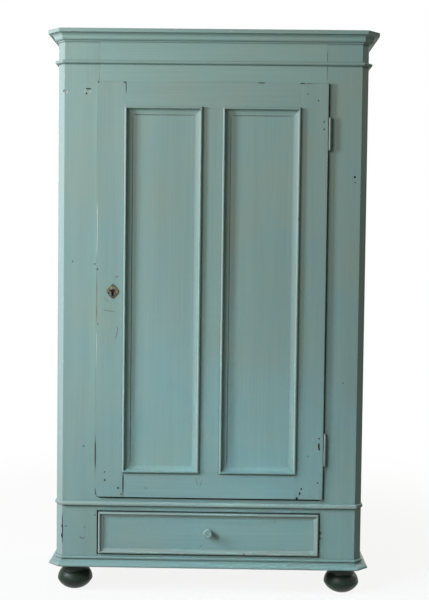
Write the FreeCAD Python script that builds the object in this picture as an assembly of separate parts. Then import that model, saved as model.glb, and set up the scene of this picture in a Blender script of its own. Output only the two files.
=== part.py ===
import FreeCAD, Part
import math
import os
from FreeCAD import Vector

# A one-door painted cupboard with a drawer below, in millimetres.
# X runs to the right, the front faces -Y, +Z is up.
# The origin lies on the floor, under the middle of the overall box.

# Case
case_width = 990.0
case_depth = 500.0
cant = 22.0

# Front frame: two stiles and three rails, tenoned together
frame_thickness = 24.0
opening_width = 722.0
bottom_rail_height = 35.5
drawer_opening_height = 144.5
mid_rail_height = 52.0
door_opening_height = 1320.0
frieze_rail_height = 167.0
frame_tenon_thickness = 8.0
frame_tenon_length = 35.0
frame_tenon_shoulder = 8.0

# Boards of the case
side_thickness = 20.0
side_tongue_thickness = 7.0
side_tongue_depth = 8.0
housing_depth = 6.0
top_thickness = 18.0
floor_thickness = 18.0
base_thickness = 18.0
back_thickness = 12.0
back_rebate = 8.0
back_board_count = 5
back_board_gap = 0.6
back_tongue_width = 5.0
back_tongue_thickness = 4.0
back_tongue_clearance = 0.3
back_bevel = 2.0

# Shelves on cleats
shelf_count = 3
shelf_thickness = 18.0
shelf_setback = 48.0
shelf_clearance = 0.5
cleat_width = 20.0
cleat_height = 26.0
cleat_back_gap = 24.0

# Hairline left in each mitre
mitre_gap = 0.1

# Cornice section
cornice_height = 37.0
cornice_projection = 32.0
cornice_top_fillet = 12.0
cornice_foot_fillet = 4.0
cornice_quirk = 2.0
cornice_roll = 8.0
cornice_roll_fillet = 1.5
cornice_cove_step = 3.0

# Frieze bead, waist moulding and plinth sections
bead_height = 11.0
bead_projection = 11.0
bead_drop = 95.0
waist_height = 13.0
waist_projection = 10.0
waist_side_projection = 4.5
waist_rise = 17.0
waist_nose = 4.0
waist_crown = 2.0
plinth_height = 30.0
plinth_projection = 23.0
plinth_bead = 8.0
plinth_quirk = 2.0
plinth_neck = 3.0
plinth_nose = 7.0
plinth_nose_relief = 2.0
plinth_ogee = 1.2

# Turned feet
foot_radius = 57.0
foot_belly_height = 31.0
foot_sole_radius = 20.0
foot_swell_radius = 44.5
foot_swell_height = 13.5
foot_shoulder_radius = 45.0
foot_shoulder_rise = 31.0
foot_neck_radius = 42.0
foot_neck_rise = 19.0
foot_collar_radius = 43.5
foot_collar_height = 10.0
foot_side_inset = 56.0
foot_front_inset = 62.0
foot_back_inset = 66.0
spigot_radius = 14.0
spigot_length = 16.0
spigot_clearance = 0.1

# Door frame, lipped over the front frame
door_proud = 10.0
door_thickness = 24.0
door_lip = 5.0
lip_clearance = 0.5
door_clearance = 2.0
door_stile_width = 90.0
door_top_rail_height = 82.0
door_bottom_rail_height = 84.0
muntin_width = 72.0
door_tenon_thickness = 8.0
door_tenon_length = 60.0
door_tenon_haunch = 25.0
muntin_tenon_length = 28.0
worn_corner_radius = 12.0

# Door panels and the mouldings planted round them
panel_thickness = 8.0
panel_setback = 8.0
panel_groove = 10.0
panel_edge_gap = 1.0
panel_groove_clearance = 0.2
panel_moulding_width = 25.0
panel_moulding_overlap = 4.0
panel_moulding_proud = 8.5
panel_moulding_rim = 6.5
panel_moulding_round = 4.5
panel_moulding_side = 3.0
panel_moulding_slope = 3.5
panel_moulding_foot = 1.0
panel_moulding_hollow = 0.8

# Barrel hinges
hinge_inset = 160.0
hinge_length = 108.0
hinge_radius = 5.5
hinge_edge_gap = 1.5
hinge_face_gap = 0.5
hinge_knuckle_gap = 0.5
hinge_tip = 5.0
hinge_pin_radius = 3.0
hinge_pin_clearance = 0.05
hinge_pin_end = 5.0
leaf_thickness = 2.0
leaf_margin = 4.0
door_leaf_reach = 36.0
frame_leaf_reach = 20.0
leaf_clearance = 0.1
hinge_rebate_depth = 7.0
hinge_nail_radius = 1.3
hinge_nail_head_radius = 2.6
hinge_nail_head = 1.2
hinge_nail_length = 20.0
hinge_nail_inset = 13.0
hinge_nail_count = 2

# Lock, key plate and strike plate
key_inset = 52.5
key_height = 663.5
keyhole_radius = 5.5
keyhole_slot_width = 6.0
keyhole_drop = 14.0
key_plate_width = 40.0
key_plate_height = 47.0
key_plate_thickness = 2.0
key_plate_bulge = 2.0
lock_width = 72.0
lock_below_key = 38.0
lock_above_key = 40.0
lock_depth = 17.0
lock_wall = 1.5
lock_edge_gap = 2.0
lock_ear = 12.0
lock_ear_inset = 7.0
lock_screw_radius = 1.7
lock_screw_head_radius = 4.0
lock_screw_head = 2.0
lock_screw_length = 12.0
drill_pin_radius = 2.25
drill_pin_recess = 6.0
bolt_rise = 18.0
bolt_height = 15.0
bolt_thickness = 5.0
bolt_tail_gap = 10.5
bolt_travel = 12.0
bolt_clearance = 0.3
bolt_stud_radius = 2.4
bolt_stud_inset = 37.0
strike_thickness = 1.5
strike_margin = 8.0
strike_clearance = 1.0
strike_side = 6.0

# Slots of the round-headed screws
screw_slot_width = 1.0
screw_slot_depth = 0.9

# Drawer
drawer_gap = 5.0
drawer_setback = 2.0
drawer_front_thickness = 22.0
drawer_front_lap = 6.0
drawer_side_thickness = 12.0
drawer_side_drop = 17.0
drawer_rear_gap = 50.0
drawer_back_thickness = 12.0
drawer_back_drop = 5.0
drawer_back_inset = 12.0
drawer_housing = 5.0
drawer_bottom_thickness = 6.0
drawer_bottom_rise = 10.0
dovetail_count = 3
dovetail_root = 20.0
dovetail_flare = 3.0
runner_inset = 22.0
runner_height = 22.0
runner_rear_gap = 24.0
runner_clearance = 0.3
guide_width = 24.0
guide_height = 25.0
guide_clearance = 1.5
stop_width = 30.0
stop_depth = 14.0
stop_top_gap = 4.0
stop_spacing = 430.0
stop_clearance = 0.3
drawer_moulding_width = 16.0
drawer_moulding_height = 9.0
drawer_moulding_rim = 5.5
drawer_moulding_round = 3.0
drawer_moulding_side = 2.5
drawer_moulding_slope = 2.0
drawer_moulding_foot = 1.0
drawer_moulding_hollow = 0.5

# Drawer knob
knob_rise = 6.0
knob_radius = 15.5
knob_length = 29.0
knob_base_radius = 9.0
knob_base = 2.5
knob_neck_radius = 6.5
knob_neck_at = 8.5
knob_flare_radius = 13.0
knob_flare_at = 16.0
knob_widest_at = 20.0
knob_face_radius = 11.0
knob_dish = 1.5
knob_dimple_radius = 2.4
knob_dimple = 5.0
knob_spigot_radius = 5.0
knob_screw_radius = 1.8
knob_screw_reach = 10.0
knob_screw_head_radius = 5.0
knob_screw_head = 2.5

# Levels, from the floor upward
foot_shoulder_height = foot_belly_height + foot_shoulder_rise
foot_collar_bottom = foot_shoulder_height + foot_neck_rise
foot_height = foot_collar_bottom + foot_collar_height
case_bottom = foot_height
drawer_opening_bottom = case_bottom + bottom_rail_height
drawer_opening_top = drawer_opening_bottom + drawer_opening_height
door_opening_bottom = drawer_opening_top + mid_rail_height
door_opening_top = door_opening_bottom + door_opening_height
case_top = door_opening_top + frieze_rail_height
top_board_bottom = case_top - top_thickness
floor_bottom = door_opening_bottom - floor_thickness
base_top = case_bottom + base_thickness

# Places across and from front to back
half_case = case_width / 2
half_front = half_case - cant
half_opening = opening_width / 2
side_inner = half_case - side_thickness
face_y = -(case_depth - cornice_projection) / 2
back_y = face_y + case_depth
frame_back_y = face_y + frame_thickness
back_board_y = back_y - back_thickness
shelf_front_y = face_y + shelf_setback

# Door planes and edges
door_face_y = face_y - door_proud
door_back_y = door_face_y + door_thickness
lip_back_y = face_y - lip_clearance
lip_half = half_opening + door_lip
lip_bottom = door_opening_bottom - door_lip
lip_top = door_opening_top + door_lip
inset_half = half_opening - door_clearance
inset_bottom = door_opening_bottom + door_clearance
inset_top = door_opening_top - door_clearance
stile_inner = lip_half - door_stile_width
half_muntin = muntin_width / 2
panel_opening_bottom = lip_bottom + door_bottom_rail_height
panel_opening_top = lip_top - door_top_rail_height
panel_face_y = door_face_y + panel_setback
panel_back_y = panel_face_y + panel_thickness

# Hinge axis and levels
hinge_x = lip_half + hinge_edge_gap + hinge_radius
hinge_y = face_y - hinge_face_gap - hinge_radius
hinge_levels = (lip_bottom + hinge_inset, lip_top - hinge_inset)
door_leaf_y = (door_face_y + lip_back_y) / 2

# Lock places
key_x = -(lip_half - key_inset)
key_z = lip_bottom + key_height
lock_left = -(inset_half - lock_edge_gap)
lock_right = lock_left + lock_width
lock_back_y = door_back_y + lock_depth
bolt_z = key_z + bolt_rise
bolt_y = (door_back_y + frame_back_y - bolt_thickness) / 2
bolt_end = lock_right - lock_wall - bolt_tail_gap

# Drawer planes and edges
drawer_half = half_opening - drawer_gap
drawer_bottom_edge = drawer_opening_bottom + drawer_gap
drawer_top_edge = drawer_opening_top - drawer_gap
drawer_face_y = face_y + drawer_setback
drawer_inner_y = drawer_face_y + drawer_front_thickness
drawer_end_y = back_board_y - drawer_rear_gap
runner_end_y = back_board_y - runner_rear_gap
drawer_side_inner = drawer_half - drawer_side_thickness
runner_top = base_top + runner_height
drawer_side_bottom = runner_top + runner_clearance
drawer_side_top = drawer_top_edge - drawer_side_drop
drawer_floor_bottom = drawer_side_bottom + drawer_bottom_rise
drawer_floor_top = drawer_floor_bottom + drawer_bottom_thickness
runner_width = runner_inset + guide_clearance + guide_width
knob_z = (drawer_bottom_edge + drawer_top_edge) / 2 + knob_rise

# Two points closer than this are one point
same_point = 0.0001

# Directions
right = Vector(1, 0, 0)
rear = Vector(0, 1, 0)
up = Vector(0, 0, 1)
front = -rear
left = -right


def block(x_low, x_high, y_low, y_high, z_low, z_high):
    """A square-edged board between the given planes."""
    return Part.makeBox(x_high - x_low, y_high - y_low, z_high - z_low, Vector(x_low, y_low, z_low))


def rod(radius, start, direction, length):
    """A round bar from a point along a direction."""
    return Part.makeCylinder(radius, length, start, direction)


def prism(corners, direction):
    """A straight-sided piece from the corners of its base."""
    return Part.Face(Part.makePolygon(corners + corners[:1])).extrude(direction)


def mirrored(shape):
    """The same piece on the other side of the middle plane."""
    return shape.mirror(Vector(0, 0, 0), right)


def joined(first, *others):
    """One solid from pieces that share faces."""
    return first.fuse(list(others)).removeSplitter()


def section_face(start, steps, place):
    """A closed face. A step is a point, or a point on an arc followed by the arc's end."""
    edges = []
    first = place(*start)
    here = first
    for step in steps:
        if isinstance(step[0], tuple):
            through, end = place(*step[0]), place(*step[1])
            edges.append(Part.Arc(here, through, end).toShape())
        else:
            end = place(*step)
            edges.append(Part.LineSegment(here, end).toShape())
        here = end
    if not here.isEqual(first, same_point):
        edges.append(Part.LineSegment(here, first).toShape())
    return Part.Face(Part.Wire(edges))


def quarter(centre, begin, end):
    """The middle and end of a quarter round about a centre, for section_face."""
    middle = tuple(c + math.sqrt(0.5) * (b - c + e - c) for c, b, e in zip(centre, begin, end))
    return middle, end


def upright_arc(begin, end):
    """The middle and end of an arc that leaves its first point parallel to the axis."""
    span = begin[0] - end[0]
    rise = end[1] - begin[1]
    radius = (span ** 2 + rise ** 2) / (2 * span)
    centre = begin[0] - radius
    half_turn = math.atan2(rise, radius - span) / 2
    return (centre + radius * math.cos(half_turn), begin[1] + radius * math.sin(half_turn)), end


def dome(radius, foot_level, height):
    """The middle and end of a spherical cap that starts at a rim and closes on the axis."""
    sphere = (radius ** 2 + height ** 2) / (2 * height)
    half_turn = math.atan2(radius, sphere - height) / 2
    centre = foot_level + height - sphere
    return (sphere * math.sin(half_turn), centre + sphere * math.cos(half_turn)), (0, foot_level + height)


def corner_waste():
    """The corner that is planed off to make the left cant."""
    corner = [Vector(-half_case, face_y, case_bottom), Vector(-half_front, face_y, case_bottom),
              Vector(-half_case, face_y + cant, case_bottom)]
    return prism(corner, up * (case_top - case_bottom))


def beyond(point, out, spread, across):
    """A large block on the outer side of a plane, for cutting an end off."""
    size = case_width
    corners = [point + spread * a * size + across * b * size for a, b in ((-1, -1), (1, -1), (1, 1), (-1, 1))]
    return prism(corners, out * size)


def moulding_length(start_point, section, begin, end, u_axis, v_axis, begin_lean, end_lean):
    """A straight moulding from begin to end; each end leans by its share of u, for a mitre."""
    run = end - begin
    along = Vector(run).normalize()
    reach = case_depth / 2  # more than any mitre needs
    before = reach if begin_lean else 0.0
    after = reach if end_lean else 0.0
    origin = begin - along * before

    def place(u, v):
        return origin + u_axis * u + v_axis * v

    solid = section_face(start_point, section, place).extrude(along * (run.Length + before + after))
    if begin_lean:
        slope = (u_axis - along * begin_lean).normalize()
        out = (along * -1 - u_axis * begin_lean).normalize()
        solid = solid.cut(beyond(begin - out * (mitre_gap / 2), out, slope, v_axis))
    if end_lean:
        slope = (u_axis + along * end_lean).normalize()
        out = (along - u_axis * end_lean).normalize()
        solid = solid.cut(beyond(end - out * (mitre_gap / 2), out, slope, v_axis))
    return solid.Solids[0]


def case_moulding(start_point, section, z):
    """A moulding round the front, the cants and the sides: front, left cant, left return, right ones."""
    lean = math.tan(math.pi / 8)
    front_corner = Vector(-half_front, face_y, z)
    side_corner = Vector(-half_case, face_y + cant, z)
    back_corner = Vector(-half_case, back_y, z)
    outward = Vector(-1, -1, 0).normalize()
    across = moulding_length(start_point, section, front_corner, Vector(half_front, face_y, z),
                             front, up, lean, lean)
    corner = moulding_length(start_point, section, side_corner, front_corner, outward, up, lean, lean)
    along_side = moulding_length(start_point, section, back_corner, side_corner, left, up, 0.0, lean)
    return across, corner, along_side, mirrored(corner), mirrored(along_side)


def mitred_frame(start_point, section, x_low, x_high, z_low, z_high, y):
    """Four mitred moulding lengths; u runs inward from the outer edge, v towards the front."""
    outline = ((x_low, z_low), (x_high, z_low), (x_high, z_high), (x_low, z_high))
    corners = [Vector(x, y, z) for x, z in outline]
    ends = corners[1:] + corners[:1]
    inward = [up, left, up * -1, right]
    return [moulding_length(start_point, section, begin, end, u_axis, front, -1.0, -1.0)
            for begin, end, u_axis in zip(corners, ends, inward)]


def cornice_section():
    """Foot fillet, convex roll, cove and square top fillet."""
    roll_in = cornice_foot_fillet + cornice_quirk
    roll_out = roll_in + cornice_roll
    roll_low = cornice_foot_fillet
    roll_high = roll_low + cornice_roll
    cove_low = roll_high + cornice_roll_fillet
    cove_high = cornice_height - cornice_top_fillet
    cove_out = cornice_projection - cornice_cove_step
    return (0, 0), [
        (cornice_foot_fillet, 0),
        (cornice_foot_fillet, cornice_foot_fillet),
        (roll_in, roll_low),
        quarter((roll_in, roll_high), (roll_in, roll_low), (roll_out, roll_high)),
        (roll_out, cove_low),
        quarter((cove_out, cove_low), (roll_out, cove_low), (cove_out, cove_high)),
        (cornice_projection, cove_high),
        (cornice_projection, cornice_height),
        (0, cornice_height),
    ]


def bead_section():
    """A strip with a half-round nose."""
    nose = bead_height / 2
    straight = bead_projection - nose
    return (0, 0), [(straight, 0), ((bead_projection, nose), (straight, bead_height)), (0, bead_height)]


def waist_section(projection):
    """A thumb moulding: a full round nose under a sloping crown."""
    foot_out = projection - waist_nose
    crown_low = waist_height / 2
    return (0, 0), [
        (foot_out, 0),
        quarter((foot_out, waist_nose), (foot_out, 0), (projection, waist_nose)),
        (projection, crown_low),
        quarter((waist_crown, crown_low), (projection, crown_low), (waist_crown, waist_height)),
        (0, waist_height),
    ]


def plinth_section():
    """A small bead and quirk over an ogee that flares to a rounded nose."""
    ogee_high = plinth_height - plinth_bead - plinth_quirk
    ogee_in = plinth_neck
    nose_in = plinth_projection - plinth_nose_relief
    middle_u = (ogee_in + nose_in) / 2
    middle_v = (ogee_high + plinth_nose) / 2
    swell = ((nose_in + middle_u + plinth_ogee) / 2, (plinth_nose + middle_v + plinth_ogee) / 2)
    hollow = ((ogee_in + middle_u) / 2 - plinth_ogee, (ogee_high + middle_v) / 2 - plinth_ogee)
    return (0, 0), [
        (nose_in, 0),
        ((plinth_projection, plinth_nose / 2), (nose_in, plinth_nose)),
        (swell, (middle_u, middle_v)),
        (hollow, (ogee_in, ogee_high)),
        (ogee_in, ogee_high + plinth_quirk),
        ((ogee_in + plinth_bead / 2, ogee_high + plinth_quirk + plinth_bead / 2), (ogee_in, plinth_height)),
        (0, plinth_height),
    ]


def panel_moulding_section():
    """A rebated moulding: a rounded rim over the frame's edge and a shallow hollow slope to the panel."""
    rim_high = panel_moulding_proud
    rim_low = rim_high - panel_moulding_round
    low = -panel_setback
    foot_high = low + panel_moulding_foot
    slope_out = panel_moulding_rim + panel_moulding_side
    slope_high = foot_high + panel_moulding_slope
    hollow = ((slope_out + panel_moulding_width) / 2, (slope_high + foot_high) / 2 - panel_moulding_hollow)
    return (0, 0), [
        (0, rim_low),
        quarter((panel_moulding_round, rim_low), (0, rim_low), (panel_moulding_round, rim_high)),
        (panel_moulding_rim, rim_high),
        (slope_out, slope_high),
        (hollow, (panel_moulding_width, foot_high)),
        (panel_moulding_width, low),
        (panel_moulding_overlap, low),
        (panel_moulding_overlap, 0),
    ]


def drawer_moulding_section():
    """A rounded rim at the drawer's edge and a shallow hollow slope to the board."""
    high = drawer_moulding_height
    foot = drawer_moulding_foot
    round_low = high - drawer_moulding_round
    slope_out = drawer_moulding_rim + drawer_moulding_side
    slope_high = foot + drawer_moulding_slope
    hollow = ((slope_out + drawer_moulding_width) / 2, (slope_high + foot) / 2 - drawer_moulding_hollow)
    return (0, 0), [
        (0, round_low),
        quarter((drawer_moulding_round, round_low), (0, round_low), (drawer_moulding_round, high)),
        (drawer_moulding_rim, high),
        (slope_out, slope_high),
        (hollow, (drawer_moulding_width, foot)),
        (drawer_moulding_width, 0),
    ]


def frame_rail(z_low, z_high):
    """A front rail with a tenon at each end."""
    middle_y = face_y + frame_thickness / 2
    reach = half_opening + frame_tenon_length
    board = block(-half_opening, half_opening, face_y, frame_back_y, z_low, z_high)
    tenon = block(-reach, reach, middle_y - frame_tenon_thickness / 2, middle_y + frame_tenon_thickness / 2,
                  z_low + frame_tenon_shoulder, z_high - frame_tenon_shoulder)
    return joined(board, tenon)


def left_stile(rails, tongue):
    """A front stile with its canted corner, mortised for the rails and grooved for the side."""
    stile = block(-half_case, -half_opening, face_y, frame_back_y, case_bottom, case_top)
    return stile.cut(list(rails) + [tongue, corner_waste()])


def side_tongue():
    """The tongue on the front edge of the left side panel."""
    middle = -(half_case + side_inner) / 2
    return block(middle - side_tongue_thickness / 2, middle + side_tongue_thickness / 2,
                 frame_back_y - side_tongue_depth, frame_back_y, case_bottom, top_board_bottom)


def left_side(tongue, housed_boards):
    """A side panel, housed for the floor and base boards and rebated for the back."""
    panel = block(-half_case, -side_inner, frame_back_y, back_y, case_bottom, top_board_bottom)
    rebate = block(-side_inner - back_rebate, -side_inner, back_board_y, back_y,
                   case_bottom, top_board_bottom)
    return joined(panel, tongue).cut([rebate, corner_waste()] + list(housed_boards))


def housed_board(z_low, z_high):
    """A board between the sides, with its ends let into them."""
    half = side_inner + housing_depth
    return block(-half, half, frame_back_y, back_board_y, z_low, z_high)


def top_board():
    """The top, nailed down on the sides behind the front frame."""
    board = block(-half_case, half_case, frame_back_y, back_y, top_board_bottom, case_top)
    return board.cut([corner_waste(), mirrored(corner_waste())])


def bevel_waste(x, inward):
    """The arris that is planed off a back board's long edge."""
    edge = [Vector(x, back_y, case_bottom), Vector(x + inward * back_bevel, back_y, case_bottom),
            Vector(x, back_y - back_bevel, case_bottom)]
    return prism(edge, up * (top_board_bottom - case_bottom))


def back_boards():
    """Upright back boards with bevelled edges, each with a tongue in its neighbour's groove."""
    span = 2 * (side_inner + back_rebate)
    width = (span - (back_board_count - 1) * back_board_gap) / back_board_count
    middle_y = (back_board_y + back_y) / 2
    boards = []
    for i in range(back_board_count):
        x_low = -span / 2 + i * (width + back_board_gap)
        x_high = x_low + width
        board = block(x_low, x_high, back_board_y, back_y, case_bottom, top_board_bottom)
        if i > 0:
            depth = back_tongue_width + back_tongue_clearance - back_board_gap
            half = back_tongue_thickness / 2 + back_tongue_clearance
            board = board.cut([block(x_low, x_low + depth, middle_y - half, middle_y + half,
                                     case_bottom, top_board_bottom), bevel_waste(x_low, 1)])
        if i < back_board_count - 1:
            half = back_tongue_thickness / 2
            board = board.cut(bevel_waste(x_high, -1))
            board = joined(board, block(x_high, x_high + back_tongue_width, middle_y - half, middle_y + half,
                                        case_bottom, top_board_bottom))
        boards.append(board)
    return boards


def shelf_levels():
    """The underside of each shelf, evenly spaced between floor and top."""
    clear = (top_board_bottom - door_opening_bottom - shelf_count * shelf_thickness) / (shelf_count + 1)
    return [door_opening_bottom + (i + 1) * clear + i * shelf_thickness for i in range(shelf_count)]


def shelf(z_low):
    """A loose shelf that lies on its cleats."""
    half = side_inner - shelf_clearance
    return block(-half, half, shelf_front_y, back_board_y - shelf_clearance, z_low, z_low + shelf_thickness)


def left_cleat(z_top):
    """A strip on the side panel under a shelf."""
    return block(-side_inner, -side_inner + cleat_width, shelf_front_y, back_board_y - cleat_back_gap,
                 z_top - cleat_height, z_top)


def turned(profile_start, profile, base, axis, out):
    """A turned piece: a section in radius and height, spun about an axis through base."""

    def place(radius, height):
        return base + out * radius + axis * height

    return section_face(profile_start, profile, place).revolve(base, axis, 360).Solids[0]


def foot(x, y):
    """A bun foot with a waisted neck, a collar and a spigot."""
    neck_middle = foot_shoulder_height + foot_neck_rise / 2
    profile = [
        (foot_sole_radius, 0),
        ((foot_swell_radius, foot_swell_height), (foot_radius, foot_belly_height)),
        upright_arc((foot_radius, foot_belly_height), (foot_shoulder_radius, foot_shoulder_height)),
        ((foot_neck_radius, neck_middle), (foot_collar_radius, foot_collar_bottom)),
        (foot_collar_radius, foot_height),
        (spigot_radius, foot_height),
        (spigot_radius, foot_height + spigot_length),
        (0, foot_height + spigot_length),
    ]
    return turned((0, 0), profile, Vector(x, y, 0), up, right)


def spigot_hole(x, y):
    """The hole in the base board for a foot's spigot."""
    return rod(spigot_radius + spigot_clearance, Vector(x, y, case_bottom), up, spigot_length)


def door_member(x_low, x_high, z_low, z_high):
    """A door stile or rail, rebated behind the lip where it reaches the door's edge."""
    lip = block(x_low, x_high, door_face_y, lip_back_y, z_low, z_high)
    body = block(max(x_low, -inset_half), min(x_high, inset_half), lip_back_y, door_back_y,
                 max(z_low, inset_bottom), min(z_high, inset_top))
    return joined(lip, body)


def door_tenon(x_low, x_high, z_low, z_high):
    """A tenon in the plane of the panel groove."""
    middle = (panel_face_y + panel_back_y) / 2
    half = door_tenon_thickness / 2
    return block(x_low, x_high, middle - half, middle + half, z_low, z_high)


def groove(x_low, x_high, z_low, z_high):
    """A panel groove, a little wider than the panel."""
    return block(x_low, x_high, panel_face_y - panel_groove_clearance, panel_back_y + panel_groove_clearance,
                 z_low, z_high)


def door_rails():
    """Top and bottom rail, tenoned into the stiles, grooved for the panels."""
    reach = stile_inner + door_tenon_length
    top = door_member(-stile_inner, stile_inner, panel_opening_top, lip_top)
    groove_top = panel_opening_top + panel_groove
    top = joined(top, door_tenon(-reach, reach, groove_top, lip_top - door_tenon_haunch))
    top = top.cut(groove(-stile_inner, stile_inner, panel_opening_top, groove_top))
    groove_bottom = panel_opening_bottom - panel_groove
    bottom = door_member(-stile_inner, stile_inner, lip_bottom, panel_opening_bottom)
    bottom = joined(bottom, door_tenon(-reach, reach, lip_bottom + door_tenon_haunch, groove_bottom))
    bottom = bottom.cut(groove(-stile_inner, stile_inner, groove_bottom, panel_opening_bottom))
    return top, bottom


def door_muntin():
    """The upright between the panels, tenoned into both rails."""
    bar = door_member(-half_muntin, half_muntin, panel_opening_bottom, panel_opening_top)
    core = half_muntin - panel_groove
    for x_low, x_high in ((-half_muntin, -core), (core, half_muntin)):
        bar = bar.cut(groove(x_low, x_high, panel_opening_bottom, panel_opening_top))
    return joined(bar, door_tenon(-core, core, panel_opening_bottom - muntin_tenon_length,
                                  panel_opening_top + muntin_tenon_length))


def door_lock_stile(rails):
    """The left stile, with the keyhole and a corner worn round at the bottom."""
    stile = door_member(-lip_half, -stile_inner, lip_bottom, lip_top)
    stile = stile.cut(groove(-stile_inner - panel_groove, -stile_inner, panel_opening_bottom - panel_groove,
                             panel_opening_top + panel_groove))
    worn = block(-lip_half, -lip_half + worn_corner_radius, door_face_y, lip_back_y,
                 lip_bottom, lip_bottom + worn_corner_radius)
    worn = worn.cut(rod(worn_corner_radius,
                        Vector(-lip_half + worn_corner_radius, door_face_y, lip_bottom + worn_corner_radius),
                        rear, lip_back_y - door_face_y))
    return stile.cut(list(rails) + [worn, keyhole(door_face_y, door_back_y)])


def door_hinge_stile(rails, leaves, nails):
    """The right stile, mortised for the hinge leaves."""
    stile = door_member(stile_inner, lip_half, lip_bottom, lip_top)
    stile = stile.cut(groove(stile_inner, stile_inner + panel_groove, panel_opening_bottom - panel_groove,
                             panel_opening_top + panel_groove))
    return stile.cut(list(rails) + list(leaves) + list(nails))


def left_door_panel():
    """A flat panel held loose in the grooves."""
    into = panel_groove - panel_edge_gap
    return block(-stile_inner - into, -half_muntin + into, panel_face_y, panel_back_y,
                 panel_opening_bottom - into, panel_opening_top + into)


def left_panel_moulding():
    """Four mitred lengths that lap over the frame round the left panel."""
    lap = panel_moulding_overlap
    start, section = panel_moulding_section()
    return mitred_frame(start, section, -stile_inner - lap, -half_muntin + lap,
                        panel_opening_bottom - lap, panel_opening_top + lap, door_face_y)


def hinge_half(level, axis):
    """Half a hinge barrel with a rounded tip, above or below the knuckle line."""
    near = hinge_knuckle_gap / 2
    far = hinge_length / 2
    straight = far - hinge_tip
    section = [(hinge_radius, near), (hinge_radius, straight),
               dome(hinge_radius, straight, hinge_tip)]
    return turned((0, near), section, Vector(hinge_x, hinge_y, level), axis, right)


def hinge_pin(level):
    """The pin, fixed in the lower barrel and free in the upper one."""
    half = hinge_length / 2 - hinge_tip - hinge_pin_end
    return rod(hinge_pin_radius, Vector(hinge_x, hinge_y, level - half), up, 2 * half)


def leaf_levels(level, axis):
    """The lower and upper edge of a leaf on one side of the knuckle line."""
    near = level + axis.z * leaf_margin
    far = level + axis.z * (hinge_length / 2 - hinge_tip)
    return min(near, far), max(near, far)


def door_leaf_plate(level, clearance):
    """The plate that is let into the door's edge."""
    low, high = leaf_levels(level, up)
    half = leaf_thickness / 2 + clearance
    return block(lip_half - door_leaf_reach - clearance, hinge_x, door_leaf_y - half, door_leaf_y + half,
                 low - clearance, high + clearance)


def frame_leaf_plate(level, clearance):
    """The plate that is let into the front stile."""
    low, high = leaf_levels(level, up * -1)
    half = leaf_thickness / 2 + clearance
    return block(hinge_x - half, hinge_x + half, hinge_y, face_y + frame_leaf_reach + clearance,
                 low - clearance, high + clearance)


def hinge_rebate():
    """The rebate in the right front stile, which leaves a gap beside the door's hinged edge."""
    side_x = hinge_x - leaf_thickness / 2 - leaf_clearance
    return block(half_opening, side_x, face_y, face_y + hinge_rebate_depth, lip_bottom, lip_top)


def door_leaf(level, nails):
    """The upper half barrel with its plate and a running bore for the pin."""
    pin_room = rod(hinge_pin_radius + hinge_pin_clearance, Vector(hinge_x, hinge_y, level),
                   up, hinge_length / 2 - hinge_tip)
    return joined(hinge_half(level, up), door_leaf_plate(level, 0.0)).cut([pin_room] + list(nails))


def frame_leaf(level, pin, nails):
    """The lower half barrel with its plate, holding the pin."""
    return joined(hinge_half(level, up * -1), frame_leaf_plate(level, 0.0)).cut([pin] + list(nails))


def nail(point, direction):
    """A small nail with a flat head at the given point."""
    shank = rod(hinge_nail_radius, point, direction, hinge_nail_length)
    head = rod(hinge_nail_head_radius, point, direction, hinge_nail_head)
    return joined(shank, head)


def nail_levels(level, axis):
    """Evenly spaced nails along a leaf."""
    low, high = leaf_levels(level, axis)
    return [low + (high - low) * (i + 0.5) / hinge_nail_count for i in range(hinge_nail_count)]


def door_nails(level):
    """Nails through the door face and the door leaf."""
    return [nail(Vector(lip_half - hinge_nail_inset, door_face_y, z), rear) for z in nail_levels(level, up)]


def frame_nails(level):
    """Nails through the edge of the front stile and the frame leaf."""
    middle_y = face_y + frame_leaf_reach / 2
    return [nail(Vector(half_opening, middle_y, z), right) for z in nail_levels(level, up * -1)]


def keyhole(y_low, y_high):
    """A round hole with a slot below it."""
    hole = rod(keyhole_radius, Vector(key_x, y_low, key_z), rear, y_high - y_low)
    slot = block(key_x - keyhole_slot_width / 2, key_x + keyhole_slot_width / 2, y_low, y_high,
                 key_z - keyhole_drop, key_z)
    return joined(hole, slot)


def key_plate():
    """A lozenge plate with slightly swollen sides, set on the door face."""
    half_width = key_plate_width / 2
    half_height = key_plate_height / 2
    slant = math.hypot(half_width, half_height)
    out_u = half_width / 2 + key_plate_bulge * half_height / slant
    out_v = half_height / 2 + key_plate_bulge * half_width / slant
    plate_y = door_face_y - key_plate_thickness

    def place(u, v):
        return Vector(key_x + u, plate_y, key_z + v)

    outline = [((out_u, out_v), (half_width, 0)), ((out_u, -out_v), (0, -half_height)),
               ((-out_u, -out_v), (-half_width, 0)), ((-out_u, out_v), (0, half_height))]
    plate = section_face((0, half_height), outline, place).extrude(rear * key_plate_thickness)
    return plate.cut(keyhole(plate_y, door_face_y))


def lock_case(pin, screws, bolt_room):
    """A sheet-iron box, open towards the door, with ears for screws and a stud for the bolt."""
    low, high = key_z - lock_below_key, key_z + lock_above_key
    outer = block(lock_left, lock_right, door_back_y, lock_back_y, low, high)
    inner = block(lock_left + lock_wall, lock_right - lock_wall, door_back_y, lock_back_y - lock_wall,
                  low + lock_wall, high - lock_wall)
    ears = block(lock_left + lock_ear_inset, lock_right - lock_ear_inset,
                 door_back_y, door_back_y + lock_wall, low - lock_ear, high + lock_ear)
    stud = rod(bolt_stud_radius, Vector(lock_left + bolt_stud_inset, bolt_y, bolt_z), rear,
               lock_back_y - lock_wall - bolt_y)
    return joined(joined(outer, ears).cut(inner), stud).cut([pin, bolt_room] + list(screws))


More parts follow.
